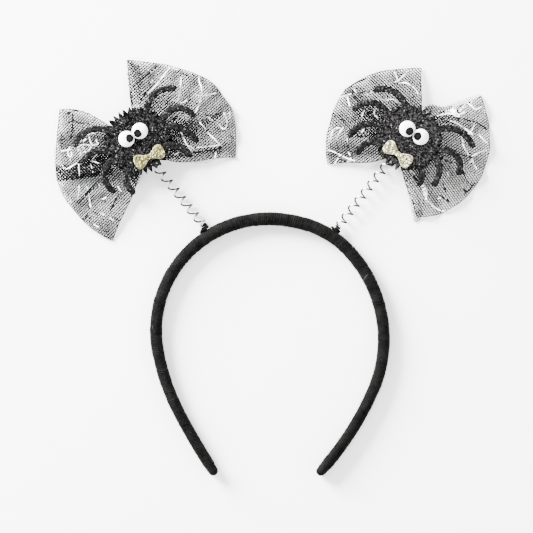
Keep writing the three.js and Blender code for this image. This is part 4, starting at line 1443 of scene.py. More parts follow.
@dataclass(frozen=True)
class BowTie:
    """Bow tie of foam, lying along X with its middle at the origin: two lobes and the knot between them."""

    length: float = 17.6
    lobe: float = 7.85
    knot: float = 2.7
    thickness: float = 1.5
    section: int = 40
    section_power: float = 0.5
    sliver_power: float = 0.6
    sliver_half: float = 2.6
    sliver_place: tuple[float, float] = (5.0, -0.4)
    sliver_bow: float = 0.55

    def slab(self) -> Shape:
        """Rounded slab whose half width swells from the knot to the lobes and closes at the ends.

        Its outline is two Bezier curves, from the knot to the widest place and on to the end.

        Returns:
            The closed shape.
        """
        x, y, k = self.length / 2, self.lobe / 2, self.knot / 2
        t = np.linspace(0, 1, 60)[:, None]
        weights = np.concatenate([(1 - t) ** 3, 3 * t * (1 - t) ** 2, 3 * t * t * (1 - t), t ** 3], 1)
        inner = weights @ np.array([[x * 0.12, k], [x * 0.3, y * 0.5], [x * 0.5, y * 0.98], [x * 0.7, y]])
        outer = weights @ np.array([[x * 0.7, y], [x * 0.9, y], [x, y * 0.75], [x, 0.02]])
        edge = np.concatenate([inner, outer[1:]])
        along = np.sin(np.linspace(-np.pi / 2, np.pi / 2, 120)) * x * 0.9995
        half = np.interp(np.abs(along), edge[:, 0], edge[:, 1], left=k)
        side, up = rounded(circle(self.section), self.section_power)
        crown = 0.75 + 0.25 * np.minimum(half / y, 1) * np.minimum(1, 6 * (1 - np.abs(along) / x) + 0.3)
        z = TRIM_BOTTOM + self.thickness / 2 + self.thickness / 2 * crown[:, None] * up
        return facing_out(skin(grid_of(along[:, None], half[:, None] * side, z)))

    def sliver(self, width: float, offset: float, low: float, high: float) -> Shape:
        """Thin lens of foam across the end of a lobe: half width falls to nothing at both ends.

        Args:
            width: widest width.
            offset: distance of its middle beyond the middle of the lobe.
            low: height of its underside.
            high: height of its top.
        """
        t = np.linspace(-1, 1, 30)
        side, up = rounded(circle(12), self.sliver_power)
        half = width / 2 * np.sqrt(np.clip(1 - t * t, 0.001, 1))
        thin = np.sqrt(np.clip(1 - t * t, 0.01, 1))
        x, y = self.sliver_place
        return facing_out(skin(grid_of(
            x + offset + half[:, None] * side + self.sliver_bow * (1 - t * t)[:, None],
            (self.sliver_half * t + y)[:, None], (low + high) / 2 + (high - low) / 2 * up * thin[:, None])))


EYE = Dome(4.35, 0.9, 2.4)
EYE_ACROSS = 4.25
PUPIL = Dome(2.35, 0.95, 1.5, dish=0.22)
PUPIL_PLACE = (2.7, -0.55, TRIM_BOTTOM + 1.25)
SLIT = (0.75, 0.0, TRIM_BOTTOM + 1.3, TRIM_BOTTOM + 1.62)
STRIP = (0.6, 0.62, TRIM_BOTTOM + 1.3, TRIM_BOTTOM + 1.7)


@dataclass
class Spider:
    """Die-cut glitter foam spider with eyes and a bow tie, made in its bow's frame."""

    bow: NetBow
    legs: tuple[Leg, ...]
    eyes: Place
    tie: Place
    slit: bool
    seed: int
    radius: float = 19.3
    spikes: int = 36
    spike_steps: int = 12
    spike_depth: float = 3.2
    spike_power: float = 0.9
    grit: float = 0.07
    thickness: float = 2.0
    leg_width: float = 3.55
    leg_length: float = 22.0
    leg_section: int = 22
    leg_power: float = 0.6
    root_swell: float = 0.12
    root_depth: float = 4.5
    droop: float = 1.2

    def body(self) -> Shape:
        """Round body with a cut fringe: the edge falls from each spike's tip to the notches beside it.

        From the middle of the top the rows run out to the rounded edge, down, and back to the middle of the
        underside. Small random steps on the top are the grit of the glitter.

        Returns:
            The closed shape in the bow's frame.
        """
        rng = np.random.default_rng(self.seed)
        count = self.spikes * self.spike_steps
        spike = np.arange(count) // self.spike_steps
        t = (np.arange(count) % self.spike_steps) / self.spike_steps
        tip = 0.5 + rng.uniform(-0.16, 0.16, self.spikes)[spike]
        rise = np.where(t < tip, t / tip, (1 - t) / (1 - tip))
        depth = self.spike_depth * rng.uniform(0.75, 1.15, self.spikes)[spike]
        tips = self.radius + rng.uniform(-0.35, 0.25, self.spikes)[spike]
        edge = np.minimum(tips - depth * (1 - rise ** self.spike_power), self.radius + 0.3)
        angle = 2 * np.pi * np.arange(count) / count
        top = np.linspace(0.01, 0.97, 34)
        rim, rim_z = [0.985, 0.996, 1.0, 1.0, 0.994, 0.98], [0.97, 0.88, 0.7, 0.3, 0.1, 0.02]
        rows = np.concatenate([top, rim, np.linspace(0.95, 0.01, 8)])[:, None]
        z = np.concatenate([np.ones(len(top)), rim_z, np.zeros(8)])[:, None]
        inner = (self.radius - self.spike_depth) * 0.96
        reach = np.where(rows < 0.9, rows / 0.9 * inner, inner + (rows - 0.9) / 0.1 * (edge[None] - inner))
        grid = grid_of(reach * np.cos(angle), reach * np.sin(angle), FOAM_BOTTOM + self.thickness * z)
        grit = rng.normal(0, self.grit, (len(top), count)) * smooth(top[:, None], 0.1, 0.6)
        grid[:len(top), :, 2] += grit
        return facing_out(skin(grid))

    def leg(self, leg: Leg) -> Shape:
        """One leg: a flat rounded section along an arc, rounded off at the tip and drooping towards it.

        Args:
            leg: its row of the table.

        Returns:
            The closed shape in the bow's frame.
        """
        rng = np.random.default_rng(int(abs(leg.root) * 7 + leg.length * 100))
        length = leg.length * self.leg_length
        turn, start, bearing = math.radians(leg.turn), math.radians(leg.heading), math.radians(leg.root)
        root = leg.out * self.radius
        run = np.concatenate([np.linspace(-self.root_depth, 0, 7)[:-1], np.linspace(0, length, 46)])
        share = np.clip(run / length, 0, 1)
        heading = start + turn * share
        bend = length / turn
        back = np.minimum(run, 0)
        x = root * math.cos(bearing) + bend * (np.sin(heading) - math.sin(start)) + back * math.cos(bearing)
        y = root * math.sin(bearing) - bend * (np.cos(heading) - math.cos(start)) + back * math.sin(bearing)
        half = self.leg_width / 2 * (1 + self.root_swell * (1 - smooth(run, 0, 5)))
        left = np.clip(length - run, 0, None)
        tip = np.sqrt(np.clip(1 - (1 - np.minimum(left / half, 1)) ** 2, 0.002, 1))
        side, up = rounded(circle(self.leg_section), self.leg_power)
        z = FOAM_BOTTOM + self.thickness / 2 - self.droop * share ** 2
        wide = (half * tip)[:, None] * side * (1 + rng.normal(0, 0.008, (len(run), self.leg_section)))
        tall = (self.thickness / 2 - 0.06) * np.maximum(tip, 0.4)[:, None] * up
        return facing_out(skin(grid_of(
            x[:, None] - wide * np.sin(heading)[:, None], y[:, None] + wide * np.cos(heading)[:, None],
            z[:, None] + tall + rng.normal(0, 0.02, tall.shape))))

    def placed(self, shape: Shape, place: Place) -> Shape:
        """Turns a trim shape, moves it onto the body and carries it to the row frame."""
        points = shape.points.copy()
        middle = self.radius * np.array([place.across, place.up])
        points[:, :2] = points[:, :2] @ turning(place.turn).T + middle
        return Shape(self.bow.to_row(points), shape.quads, shape.triangles, shape.uv)

    def build(self, foam: Material, limbs: Material, white: Material,
              black: Material, gold: Material) -> None:
        """Writes the foam spider, the eyes, the pupils and the bow tie."""
        label = self.bow.label
        body, legs = self.body(), Shape.joined([self.leg(leg) for leg in self.legs])
        for part in (body, legs):
            part.points = self.bow.to_row(part.points)
        write_piece(f"foam_body_{label}", body, foam, [f"spider_{label}"])
        write_piece(f"foam_legs_{label}", legs, limbs)
        balls = Shape.joined([EYE.at(EYE_ACROSS * side, 0, TRIM_BOTTOM) for side in (-1, 1)])
        eyes = self.placed(balls, self.eyes)
        write_piece(f"eye_domes_{label}", eyes, white, [f"eyes_{label}"])
        across, up, base = PUPIL_PLACE
        for side, letter in ((-1, "a"), (1, "b")):
            pupil = self.placed(PUPIL.at(across * side, up, base), self.eyes)
            write_piece(f"pupil_dome_{label}_{letter}", pupil, black, [f"pupil_{label}_{letter}"])
        tie = BowTie()
        slab = self.placed(tie.slab(), self.tie)
        write_piece(f"tie_foam_{label}", slab, gold, [f"bow_tie_{label}"])
        if self.slit:
            write_piece(f"tie_slit_{label}", self.placed(tie.sliver(*SLIT), self.tie), black)
            write_piece(f"tie_strip_{label}", self.placed(tie.sliver(*STRIP), self.tie), gold)


# Loose hairs


@dataclass
class Hair:
    """A stray fibre: a shallow curve from start to end."""

    start: tuple[float, float, float]
    end: tuple[float, float, float]
    bow: float
    thickness: float = 0.12

    def shape(self) -> Shape:
        """Tube along start + t (end - start), pushed sideways by bow times 4 t (1 - t)."""
        t = np.linspace(0, 1, 24)[:, None]
        start, end = np.array(self.start), np.array(self.end)
        path = start + (end - start) * t + unit(np.cross(end - start, UP)) * self.bow * 4 * t * (1 - t)
        return tube(path, self.thickness / 2, 6, UP)


# Studio


class Lamp(NamedTuple):
    """A square light at the object: degrees round from +X and up, metres away and across, and watts."""

    name: str
    bearing: float
    height: float
    distance: float
    size: float
    power: float


LAMPS = (Lamp("key", 140, 20, 1.6, 0.8, 455.0), Lamp("fill_back", 60, 30, 1.5, 1.0, 38.0),
         Lamp("fill_right", -30, 30, 1.5, 1.0, 34.0), Lamp("fill_front", -120, 30, 1.5, 1.0, 38.0))


@dataclass
class Studio:
    """Pale floor, soft light from the upper left and the camera straight above."""

    middle: tuple[float, float] = (-3.33, 0.70)
    frame_width: float = 293.15
    height: float = 2400.0
    sensor: float = 36.0
    floor_half: float = 3.0
    floor_drop: float = 0.0001
    sky_strength: float = 1.15

    def camera(self) -> None:
        """Makes the camera: its lens fits the photograph's width at the floor."""
        data = bpy.data.cameras.new("camera")
        data.sensor_width = self.sensor
        data.lens = self.sensor * self.height / self.frame_width
        data.clip_start, data.clip_end = 0.1, 20
        camera = bpy.data.objects.new("camera", data)
        camera.location = (self.middle[0] * MM, self.middle[1] * MM, self.height * MM)
        bpy.context.scene.collection.objects.link(camera)
        bpy.context.scene.camera = camera

    def floor(self) -> None:
        """Makes the pale floor, which rides on no body of the object."""
        mesh = bpy.data.meshes.new("floor")
        corners = [(x * self.floor_half, y * self.floor_half, -self.floor_drop)
                   for x, y in ((-1, -1), (1, -1), (1, 1), (-1, 1))]
        mesh.from_pydata(corners, [], [(0, 1, 2, 3)])
        material, bench, shader = new_material("floor_white")
        bench.fill(shader, {"Base Color": (0.93, 0.93, 0.925, 1), "Roughness": 0.8,
                            "Specular IOR Level": 0.1})
        mesh.materials.append(material)
        floor = bpy.data.objects.new("floor", mesh)
        bpy.context.scene.collection.objects.link(floor)

    def lamp(self, lamp: Lamp) -> None:
        """Adds a light."""
        data = bpy.data.lights.new(lamp.name, "AREA")
        data.size, data.energy = lamp.size, lamp.power
        light = bpy.data.objects.new(lamp.name, data)
        turn, rise = math.radians(lamp.bearing), math.radians(lamp.height)
        level = lamp.distance * math.cos(rise)
        light.location = (level * math.cos(turn), level * math.sin(turn), lamp.distance * math.sin(rise))
        light.rotation_euler = (math.pi / 2 - rise, 0, turn + math.pi / 2)
        bpy.context.scene.collection.objects.link(light)

    def build(self) -> None:
        """Makes the floor, the lights and the even sky."""
        self.floor()
        for lamp in LAMPS:
            self.lamp(lamp)
        world = bpy.data.worlds.new("studio")
        world.use_nodes = True
        sky = world.node_tree.nodes["Background"]
        sky.inputs["Color"].default_value = (1.0, 1.0, 1.0, 1)
        sky.inputs["Strength"].default_value = self.sky_strength
        bpy.context.scene.world = world


# Tables of the two bows


def cloth_lines(*rows: tuple[float, ...]) -> tuple[ClothLine, ...]:
    """Cloth lines from rows of their numbers."""
    return tuple(ClothLine(*row) for row in rows)


def folds(*rows: tuple[float, ...]) -> tuple[Fold, ...]:
    """Folded places from rows of turn, fill and then x and y of each corner."""
    return tuple(Fold(row[0], row[1], tuple(zip(row[2::2], row[3::2]))) for row in rows)


def web_lines(usual: float, *rows: tuple[float, ...]) -> tuple[WebLine, ...]:
    """Printed lines from rows of x and y of each point, after a width where it isn't the usual one."""
    full = (row if len(row) % 2 else (usual, *row) for row in rows)
    return tuple(WebLine(row[0], tuple(zip(row[1::2], row[2::2]))) for row in full)


LEFT_LEFT = Wing(-1, ((1.0, 45),), 0.96, cloth_lines(
    (128.3, 0.924, 0.05, 0.1, 0, -0.07), (138, 0.893, 0.3, 0.35, 0, -0.035), (149, 0.893, 0.02, -0.2),
    (159, 0.91, 0.33, 0.2, 0.05), (168, 0.948, 0.6, 0, 0.1), (175, 0.98, 0.6, 0, 0.15),
    (177, 0.985, 0.465, 0, 0.16), (175, 0.98, 0.33, 0, 0.14), (169, 0.95, 0.33, 0, 0.11),
    (167, 0.946, 0.195, 0, 0.1), (169, 0.95, 0.06, 0, 0.11), (178, 0.99, 0.06, -0.04, 0.14),
    (188, 1.02, 0.3, 0.35, 0.1), (197, 1.035, 0.02, -0.2, 0.06), (209, 1.075, 0.3, 0.4, 0.05),
    (225.7, 1.13, 0.05, 0.05, 0.085),
))

LEFT_RIGHT = Wing(1, ((1.0, 42),), 0.95, cloth_lines(
    (67.7, 0.896, 0.05, 0.1, 0.03), (58, 0.872, 0.3, 0.35), (49, 0.872, 0.02, -0.2), (40, 0.89, 0.28, 0.4),
    (32, 0.91, 0.02, -0.15), (25, 0.94, 0.22, 0.35), (17, 0.985, 0.04, -0.2), (10, 1.027, 0.28, 0.36),
    (3, 1.045, 0.05, -0.1), (-4, 1.058, 0.1, 0.1), (-9, 1.08, 0.16, 0.15), (-13, 1.088, 0.34, 0.38, -0.02),
    (-18, 1.086, 0.05, -0.1, -0.04), (-26, 1.078, 0.25, 0.3, -0.07), (-34, 1.076, 0.02, -0.2, -0.1),
    (-39.8, 1.085, 0.15, 0.1, -0.13),
))

RIGHT_LEFT = Wing(-1, ((0.75, -44), (1.0, 37)), 1.05, cloth_lines(
    (115, 0.78, 0.1, 0.1, -0.08), (126.8, 0.76, 0.3, 0.3, -0.04), (138.4, 0.766, 0.02, -0.2),
    (147.4, 0.786, 0.25, 0.3), (156.8, 0.806, 0.02, -0.1), (165, 0.825, 0.3, 0.4), (178, 0.865, 0.02, -0.2),
    (188, 0.87, 0.28, 0.4), (198, 0.87, 0.02, -0.15), (206, 0.873, 0.1, 0.1, 0.02),
    (213, 0.89, 0.25, 0.45, 0.05), (224, 0.91, 0.02, -0.2, 0.08), (234.6, 0.928, 0.1, 0.1, 0.125),
))

RIGHT_RIGHT = Wing(1, ((0.5, 37), (1.0, -54)), 0.76, cloth_lines(
    (66, 0.924, 0.1, 0.1, 0.08, -0.01), (56, 0.902, 0.3, 0.35, 0.05), (46, 0.9, 0.02, -0.2, 0.03),
    (36, 0.892, 0.2, 0.2), (27, 0.903, 0.28, 0.38), (17, 0.9, 0.02, -0.2), (8, 0.908, 0.25, 0.4),
    (-2, 0.908, 0.02, -0.15), (-11, 0.908, 0.2, 0.3), (-21, 0.904, 0.28, 0.38, -0.02),
    (-30, 0.905, 0.02, -0.2, -0.04), (-39, 0.89, 0.25, 0.3, -0.06), (-47.9, 0.874, 0.05, 0.1, -0.085),
))

LEFT_FOLDS = folds(
    (135, 1.3, -119.4, 56, -111.4, 56.5, -106.4, 58.2, -103.7, 60.4, -99.3, 61.5, -92.7, 59.3, -88.3, 56,
     -88.3, 50.8, -93.2, 50.8, -105.9, 49.1, -118, 47.5),
    (135, 0.6, -92.7, 50.5, -97.1, 47.2, -100.9, 42.8, -103.7, 38.9, -99.3, 41.7, -94.9, 44.4, -91, 47.2),
    (135, 0.5, -83.3, 41.7, -86.1, 38.9, -88.3, 33.4, -86.1, 35.1, -83.3, 38.4, -81.7, 41.1),
    (132, 0.85, -23.1, 87.5, -33.3, 83.2, -39.3, 81, -42.1, 79.6, -47.6, 81.3, -55.3, 79.1, -55.3, 71.9,
     -48.1, 71.9, -42.1, 74.1, -40.4, 76.6, -37.1, 78.3, -32.7, 80.7),
    (132, 0.2, -27.2, 65.1, -37.1, 63.4, -45.4, 62.6, -53.1, 60.4, -53.1, 63.1, -44.3, 64.2, -37.1, 64.8),
    (132, 0.75, -80, 114.3, -76.7, 113.2, -73.4, 107.7, -71.2, 101.1, -72.3, 94.5, -74.5, 89, -77.8, 89,
     -78.9, 97.8, -79.8, 106),
    (132, 0.5, -65.7, 90.6, -63, 93.9, -59.1, 95.9, -57.8, 95.6, -57.8, 87.9, -60.2, 85.7, -64.1, 85.1,
     -66.3, 86.2),
    (132, 1, -60.2, 70.3, -55.8, 70.8, -50.9, 68.6, -47, 65.3, -47, 61.5, -52, 59.8, -57.5, 59.3, -61.3,
     60.4),
    (132, 0.35, -46.5, 63.1, -27.8, 64.8, -28.3, 60.4, -35.5, 57.6, -45.4, 57.6, -50.9, 58.7),
    (135, 1.2, -99.3, 60.4, -95.4, 63.1, -90.5, 64.2, -88.3, 61.5, -88.3, 56, -92.7, 57.1, -96.5, 57.6,
     -99.8, 58.7),
    (135, 1, -77.8, 53.2, -72.3, 53.8, -72.9, 49.4, -74.5, 45, -77.8, 48.3),
    (135, 0.3, -120.2, 65.9, -113.6, 64.8, -111.4, 60.4, -113.6, 56, -120.2, 56),
)

RIGHT_FOLDS = folds(
    (46, 0.3, 43.2, 87.3, 48.1, 90.6, 52.5, 86.8, 56.9, 80.7, 50.3, 81.8, 46.5, 83.5),
    (46, 0.3, 47, 80.2, 58, 82.9, 61.3, 72.5, 51.4, 71.9, 45.9, 73),
    (46, 0.3, 37.1, 91.7, 40.4, 92.3, 43.7, 87.9, 42.6, 86.2, 39.9, 87.9),
    (36, 0.3, 71.8, 53.8, 77.8, 54.9, 82.2, 46.1, 76.7, 41.7, 74, 46.1),
    (127, 0.9, 83.3, 88.4, 87.7, 90.1, 92.7, 88.4, 98.7, 89, 103.1, 85.7, 102.6, 80.2, 96.5, 79.1, 91, 79.6,
     86.6, 84),
    (127, 0.35, 95.4, 89, 104.2, 92.3, 114.1, 95.6, 115.8, 92.3, 116.3, 84.6, 109.7, 82.9, 102.6, 83.5,
     98.7, 88.4),
    (36, 0.6, 72.3, 50.5, 75.6, 51, 78.9, 42.8, 81.7, 34.5, 82.8, 29, 80, 25.2, 77.8, 25.2, 75.1, 37.3),
    (46, 0.8, 49.2, 87.9, 53.1, 89.8, 56.9, 88.4, 61.3, 84.6, 61.9, 81.3, 56.9, 80.7, 52.5, 82.4, 49.2,
     83.5),
    (46, 0.5, 44.3, 85.7, 48.1, 86.8, 49.8, 83.5, 47, 80.7, 43.7, 82.4),
    (46, 0.6, 45.9, 72.5, 49.2, 75.8, 53.6, 77.4, 57.5, 75.8, 57.5, 71.4, 51.4, 70.8),
    (46, 0.35, 75.1, 100, 81.1, 101.1, 82.2, 94.5, 81.7, 89, 77.3, 89, 74.5, 93.4),
)

LEFT_SILVER = web_lines(0.5,
    (0.62, -107, 67.8, -105.9, 69.2, -104.7, 71, -103.1, 72.6, -100.8, 73.7, -98.6, 74.4, -97.2, 73.5),
    (0.6, -104.5, 69.4, -103.1, 70.3, -102.2, 71),
    (0.58, -100.8, 73, -100.6, 70.7, -100, 68.5, -99.2, 67.1),
    (0.62, -96.7, 72.6, -97.2, 70.7, -96.7, 69.2, -95.3, 67.8),
    (0.55, -107.7, 65.7, -105.9, 67.1, -103.1, 68, -101.3, 67.3, -98.6, 67.3, -95.3, 67.8),
    (0.58, -107.7, 65.2, -105.9, 64.6, -103.6, 63.9, -102.2, 63.4),
    (-104.5, 67.1, -103.8, 65.7, -103.1, 64.4), (-99.5, 67.1, -100, 65.2, -101.8, 63.9),
    (-105.5, 63.9, -105, 62, -105.9, 61.1),
    (0.58, -111, 67.1, -112.3, 64.4, -112.6, 62, -111, 60.2, -110, 62.5, -110.5, 63.9),
    (-111, 60.2, -111.2, 58.4, -111, 57), (-116.5, 63.9, -114.1, 64.4, -111.8, 64.8, -110, 65.2),
    (0.66, -114.1, 54, -111.8, 54.7, -109.6, 56.3, -107.3, 57.7),
    (0.58, -115.5, 57, -114.8, 55.2, -114.1, 54), (0.34, -106.3, 57.5, -106.3, 53.8, -105.9, 50.1),
    (0.38, -100, 57, -99, 54.2, -98.6, 50.6), (0.48, -99.5, 58.9, -97.2, 57.9, -94.9, 57),
    (0.42, -92.1, 56.1, -89.8, 57.5), (0.32, -99, 59.3, -97.2, 61.6, -94.9, 63, -92.1, 63.7),
    (0.45, -106.2, 45.5, -106.4, 42.5, -107, 37.8), (-102, 45, -100.9, 40, -100.4, 35.6, -99.8, 32.9),
    (0.58, -95.4, 46.6, -94.9, 43.3), (-94.3, 37.3, -91, 38.9), (0.58, -98.7, 24.1, -94.9, 21.9),
    (-89.9, 27.9, -87.2, 25.7), (-94.9, 30.1, -91.6, 28.5), (-116.9, 47.2, -114.7, 45),
    (-85, 45, -83.9, 42.8, -82.2, 41.7), (-111.9, 39.5, -110.8, 35.6),
    (0.58, -56.4, 110.4, -59.1, 106.6, -63, 101.6, -66.3, 97.8, -69, 95.6),
    (0.58, -56.4, 110.4, -52.5, 108.8),
    (0.58, -40.4, 105.5, -40.4, 102.2, -38.8, 98.9, -39.3, 95, -39.9, 91.7, -41.5, 87.3, -42.6, 84.6),
    (-39.3, 94.5, -36, 95, -32.7, 95), (-39.3, 94.5, -42.6, 95),
    (-50.3, 104.4, -50.3, 100, -51.4, 95.6, -52, 91.7), (-53.1, 90.1, -49.8, 90.6, -47, 91.7, -46.5, 93.4),
    (0.58, -27.2, 85.7, -25, 81.3, -25, 78, -26.7, 75.8, -28.3, 76.9, -29.4, 79.6),
    (0.58, -32.2, 80.7, -35.5, 82.9),
    (0.58, -40.4, 80.2, -37.7, 77.4, -35.5, 74.1, -32.7, 71.4, -29.4, 68.1, -27.8, 67),
    (-42.1, 65.9, -37.1, 66.4, -31.6, 67, -28.3, 67.5),
    (0.58, -51.4, 75.8, -49.8, 73.6, -48.7, 70.8, -47, 68.6), (0.58, -31.1, 63.7, -32.2, 58.7),
    (-45.9, 67, -42.6, 64.8), (-23.9, 85.7, -23.4, 81.8), (-55.3, 79.1, -52, 80.7),
    (-54.2, 61.5, -50.9, 63.7), (-67.4, 101.6, -65.2, 103.3), (-69, 109.3, -66.3, 107.1),
    (0.6, -55.5, 110.4, -53.4, 109.9, -51.5, 109),
    (0.4, -50.8, 103.3, -50.4, 98.3, -51.5, 93.9, -52.2, 91.1),
    (0.42, -55.8, 92.2, -52.9, 91.5, -52.2, 91.1), (0.36, -39, 95, -36.4, 94.7, -33.3, 95.6, -30.7, 96.1),
    (0.42, -48.6, 70.3, -46.5, 66.7, -44.3, 63.9),
)

LEFT_INK = web_lines(0.68,
    (-109.7, 86.2, -109.7, 79.1, -110.3, 73.6, -111.4, 70.8),
    (-114.1, 84, -109.7, 86.2, -105.9, 86.2, -101.5, 85.1, -98.7, 83.5),
    (-115.2, 78, -111.9, 79.6, -109.7, 81.3, -106.4, 79.6, -103.1, 79.1, -102, 80.7, -100.4, 78),
    (-117.4, 75.2, -115.8, 72.5, -113.6, 70.3), (-113.6, 73.6, -110.8, 75.8, -108.1, 75.2),
    (-116.3, 71.9, -116.3, 68.1, -115.8, 63.7), (-97.6, 82.4, -98.7, 79.1),
    (-100.9, 34.5, -100.4, 31.2, -97.6, 30.1, -95.4, 29.6), (-100.4, 31.2, -102.6, 27.9, -103.7, 24.6),
    (-102, 29, -99.8, 26.3), (-104.8, 27.4, -102.6, 25.7), (-94.9, 37.3, -91, 36.2),
    (-112.5, 41.1, -111.4, 38.4), (-92.7, 20.2, -89.4, 19.1, -87.2, 17.5), (-87.7, 27.9, -83.9, 25.7),
    (0.88, -83.9, 41.1, -85.5, 38.9, -87.7, 34, -89.4, 30.7),
    (0.9, -107, 35.1, -103.7, 38.9, -100.9, 42.2, -97.1, 46.1), (-74, 111.5, -72.9, 107.7, -70.7, 103.8),
    (-63, 111.5, -67.4, 107.7, -70.7, 104.4, -74, 101.6, -77.8, 97.8),
    (-78.4, 97.2, -77.3, 92.8, -76.7, 89), (-49.8, 106.6, -47, 105.5, -45.4, 107.1, -42.1, 104.9),
    (-49.8, 101.6, -50.3, 98.9), (-23.9, 73.6, -20.6, 70.3), (-23.4, 84, -22.3, 80.2),
    (0.76, -27.2, 66.4, -31.6, 64.8, -37.1, 64.2, -44.3, 63.1), (-44.8, 93.4, -47.6, 89.5),
    (-57.5, 93.9, -57.5, 88.4), (0.76, -51.4, 85.1, -54.7, 80.7), (0.76, -48.7, 84, -53.1, 79.6),
    (0.88, -23.9, 87.3, -28.9, 85.1, -33.3, 82.9), (-37.7, 78, -35.5, 75.2), (-38.2, 84, -32.2, 83.5),
    (-67.4, 98.9, -70.7, 95, -72.9, 89.5),
)

RIGHT_SILVER = web_lines(0.5,
    (0.58, 66.8, 108.2, 67.9, 106, 69, 103.3, 67.4, 101.6),
    (0.58, 67.4, 101.6, 71.2, 104.9, 73.4, 107.1, 76.7, 108.8),
    (0.58, 69, 101.6, 72.9, 101.6, 75.6, 100.5, 78.4, 98.3, 80, 95),
    (0.58, 41, 94.5, 41.5, 91.7, 42.6, 88.4), (36.6, 93.4, 40.4, 94.5, 43.7, 96.1),
    (0.58, 37.7, 76.9, 34.9, 76.9, 32.7, 75.2, 32.2, 71.9, 31.6, 70.3),
    (0.58, 38.8, 77.4, 36.6, 74.1, 34.9, 71.4, 35.5, 69.7),
    (0.58, 30, 64.8, 32.7, 64.2, 35.5, 63.1, 37.1, 62, 40.4, 60.4, 42.6, 59.3, 45.9, 58.7),
    (0.58, 37.1, 62, 35.5, 59.3, 33.8, 57.1), (41, 71.9, 41, 68.6),
    (41.5, 64.2, 42.6, 61.5, 43.2, 59.8, 41, 57.6), (0.58, 50.9, 86.8, 49.2, 84.6, 48.7, 82.4),
    (0.58, 56.4, 87.3, 55.3, 84.6, 58, 81.8), (0.72, 50.3, 76.3, 48.7, 73.6, 47, 72.5),
    (59.1, 92.8, 61.9, 91.7, 65.7, 92.8, 69, 90.6), (46.5, 95.6, 44.3, 98.9), (51.4, 94.5, 54.7, 96.7),
    (61.3, 92.3, 63.5, 93.9), (0.75, 101.2, 84, 96.5, 84.9, 92.1, 84, 88.8, 82.9),
    (0.75, 101.2, 84, 97.1, 86.5, 92.7, 86.5), (0.7, 101.2, 84, 97.6, 87.6, 95.7, 87.6),
    (0.7, 101.2, 84, 98.7, 88.2, 97.1, 88.7), (0.7, 101.2, 84, 100.1, 88.7, 99.5, 89.5),
    (0.75, 101.2, 84, 103.7, 87.3, 106.8, 90.8),
    (0.65, 106.8, 90.8, 109.4, 88.7, 111.6, 86.5, 113, 87.6, 115.2, 88.7),
    (0.6, 101.2, 84, 103.7, 84.6, 105.9, 85.7), (0.6, 94.9, 87.3, 95.7, 85.7, 94.6, 83.5),
    (0.55, 97.6, 88.2, 98.4, 86.5, 97.9, 84.6), (1, 99.3, 83.8, 103.1, 83.5),
    (0.75, 97.1, 80.7, 100.4, 80.2, 103.1, 78, 105.3, 76.9, 108.6, 74.4, 110.8, 72.2),
    (0.65, 111.4, 79.1, 108.9, 74.4, 106.4, 73), (108.6, 90.1, 110.3, 92.8),
    (0.58, 113, 73.6, 115.8, 70.3, 118, 68.1), (0.58, 118, 64.8, 114.1, 63.7, 110.8, 62, 109.2, 60.9),
    (0.58, 104.2, 68.6, 105.9, 64.8, 108.1, 61.5), (109.2, 60.9, 110.8, 56.5, 112.5, 53.8),
    (104.2, 74.7, 103.7, 71.9, 104.8, 68.6), (3.2, 81.7, 45.5, 82.8, 42.8, 83.9, 39.5),
    (0.96, 83.9, 40, 84.4, 36.7), (0.72, 84.4, 37.3, 88.8, 33.4, 92.1, 31.2, 94.9, 31.2),
    (75.1, 53.8, 78.4, 51), (95.4, 52.7, 97.1, 49.9), (75.6, 56.5, 77.3, 54.9), (107.5, 57.6, 110.3, 59.3),
    (90.5, 37.8, 93.2, 38.9), (80, 45, 81.7, 47.7),
)

RIGHT_INK = web_lines(0.68,
    (37.1, 96.7, 38.2, 96.7), (39.3, 97.8, 42.6, 99.4, 47, 102.2, 50.3, 103.3, 54.7, 106),
    (53.1, 103.3, 56.4, 101.6, 57.5, 99.4), (43.2, 96.7, 47.6, 95.6, 51.4, 97.2, 54.2, 96.1),
    (0.88, 37.7, 91.2, 39.3, 89.5, 41.5, 87.9), (37.7, 82.4, 39.3, 80.2, 40.4, 77.4),
    (34.9, 69.7, 35.5, 67, 36.6, 65.3), (31.6, 69.2, 32.2, 66.4), (40.4, 67.5, 42.6, 65.3),
    (0.76, 45.4, 72.5, 48.7, 71.9, 52, 72.5), (43.7, 95.6, 46.5, 91.7), (45.4, 86.8, 48.1, 82.9),
    (48.1, 90.1, 49.8, 93.4), (70.1, 106, 73.4, 106.6, 76.2, 108.8), (31.6, 82.9, 33.8, 85.7),
    (63.5, 95, 63, 92.8), (37.1, 59.3, 41, 58.7), (0.88, 100.4, 82.1, 102.3, 81.5, 104.2, 82.1),
    (104.2, 82.1, 107, 80.7, 111.4, 80.5), (111.4, 80.2, 114.1, 78.8, 118, 75.8),
    (0.76, 93.2, 46.6, 94.9, 42.2, 96.5, 35.6), (0.76, 91, 40.6, 94.3, 37.8, 97.1, 35.6),
    (0.76, 102.6, 62.6, 107, 60.9, 110.3, 60.4), (0.76, 92.1, 60.9, 96, 58.2, 100.9, 57.1),
    (104.2, 53.8, 106.4, 48.3, 109.7, 45), (104.8, 39.5, 108.6, 43.3, 112.5, 48.3),
    (71.8, 47.7, 75.1, 47.7), (76.2, 38.4, 77.8, 33.4, 78.9, 29), (83.3, 94.5, 81.1, 101.1),
    (82.2, 36.2, 83.9, 33.4), (104.2, 43.9, 107.5, 41.1), (83.9, 50.5, 86.6, 52.7), (76.7, 50.5, 79.5, 47.2),
)

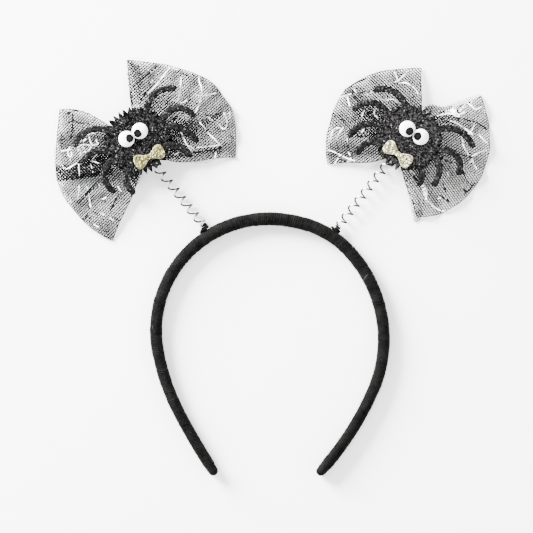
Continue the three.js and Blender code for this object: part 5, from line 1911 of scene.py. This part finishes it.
LEFT_LEGS = tuple(Leg(*row) for row in (
    (132.1, 0.884, 125.4, 1.066, 101.6), (170.2, 0.895, 132.4, 0.77, 83), (188, 1.009, 195.3, 0.881, 112.9),
    (222.8, 0.936, 218.7, 0.615, 80), (43.2, 0.908, 53.6, 1.021, -96.1), (11.7, 1.027, 30.6, 0.9, -124.5),
    (-6.7, 1.064, -40.1, 0.778, -46), (-37.8, 0.93, -31.2, 0.635, -58.1),
))

RIGHT_LEGS = tuple(Leg(*row) for row in (
    (131, 0.845, 138, 1.05, 99.8), (166.4, 0.97, 159.2, 0.983, 112.4), (193.1, 0.871, 191.9, 0.93, 90.7),
    (225.4, 0.879, 196.8, 0.68, 100.6), (51.1, 0.871, 54.2, 1.104, -91.6),
    (14.2, 0.969, 48.8, 0.974, -136.3), (-0.3, 0.975, -24.1, 0.777, -75.3),
    (-36.6, 0.795, -2.6, 0.613, -99.5),
))

HAIRS = (
    Hair((52.3, -3.6, 7.0), (49.7, -8.2, 7.0), 0.5),
    Hair((-66.0, -31.5, 6.6), (-64.6, -35.4, 6.6), 0.3),
)


def main() -> None:
    logging.basicConfig(level=logging.INFO, format="%(message)s")
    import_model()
    studio = Studio()
    studio.camera()
    studio.build()
    Hoop().build()
    thread, wire = THREAD_BLACK.material(), WIRE.material()
    Spring("left", LEFT_ARM, 31.15, 7.65, 61.9, 0.8415, 0.2, crossed=True).build(thread, wire)
    Spring("right", RIGHT_ARM, 33.6, 4.4, 65.2, 0.4485, -0.14, crossed=False).build(thread, wire)
    left = NetBow("left", (-74.0, 69.75), 30, (LEFT_LEFT, LEFT_RIGHT), LEFT_SILVER, LEFT_INK, LEFT_FOLDS)
    right = NetBow("right", (74.5, 71.4), -36, (RIGHT_LEFT, RIGHT_RIGHT), RIGHT_SILVER, RIGHT_INK,
                   RIGHT_FOLDS)
    net, tape = NET_BLACK.material(), TAPE_BLACK.material()
    silver, ink = SILVER_PRINT.material(), BLACK_PRINT.material()
    for bow in (left, right):
        bow.build(net, silver, ink, tape)
    foam_left, foam_right, limbs = FOAM_LEFT.material(), FOAM_RIGHT.material(), LEGS_BLACK.material()
    gold, pale = FOAM_GOLD.material(), FOAM_PALE.material()
    white, black = EYE_WHITE.material(), PUPIL_BLACK.material()
    Spider(left, LEFT_LEGS, Place(-0.029, 0.197, 1), Place(0.057, -0.569, -2.2), slit=False, seed=3).build(
        foam_left, limbs, white, black, gold)
    Spider(right, RIGHT_LEGS, Place(0.049, 0.196, 5), Place(0.034, -0.56, -3), slit=True, seed=6).build(
        foam_right, limbs, white, black, pale)
    hairs = Shape.joined([hair.shape() for hair in HAIRS])
    write_piece("lint_hairs", hairs, LINT_GREY.material())


if __name__ == "__main__":
    main()
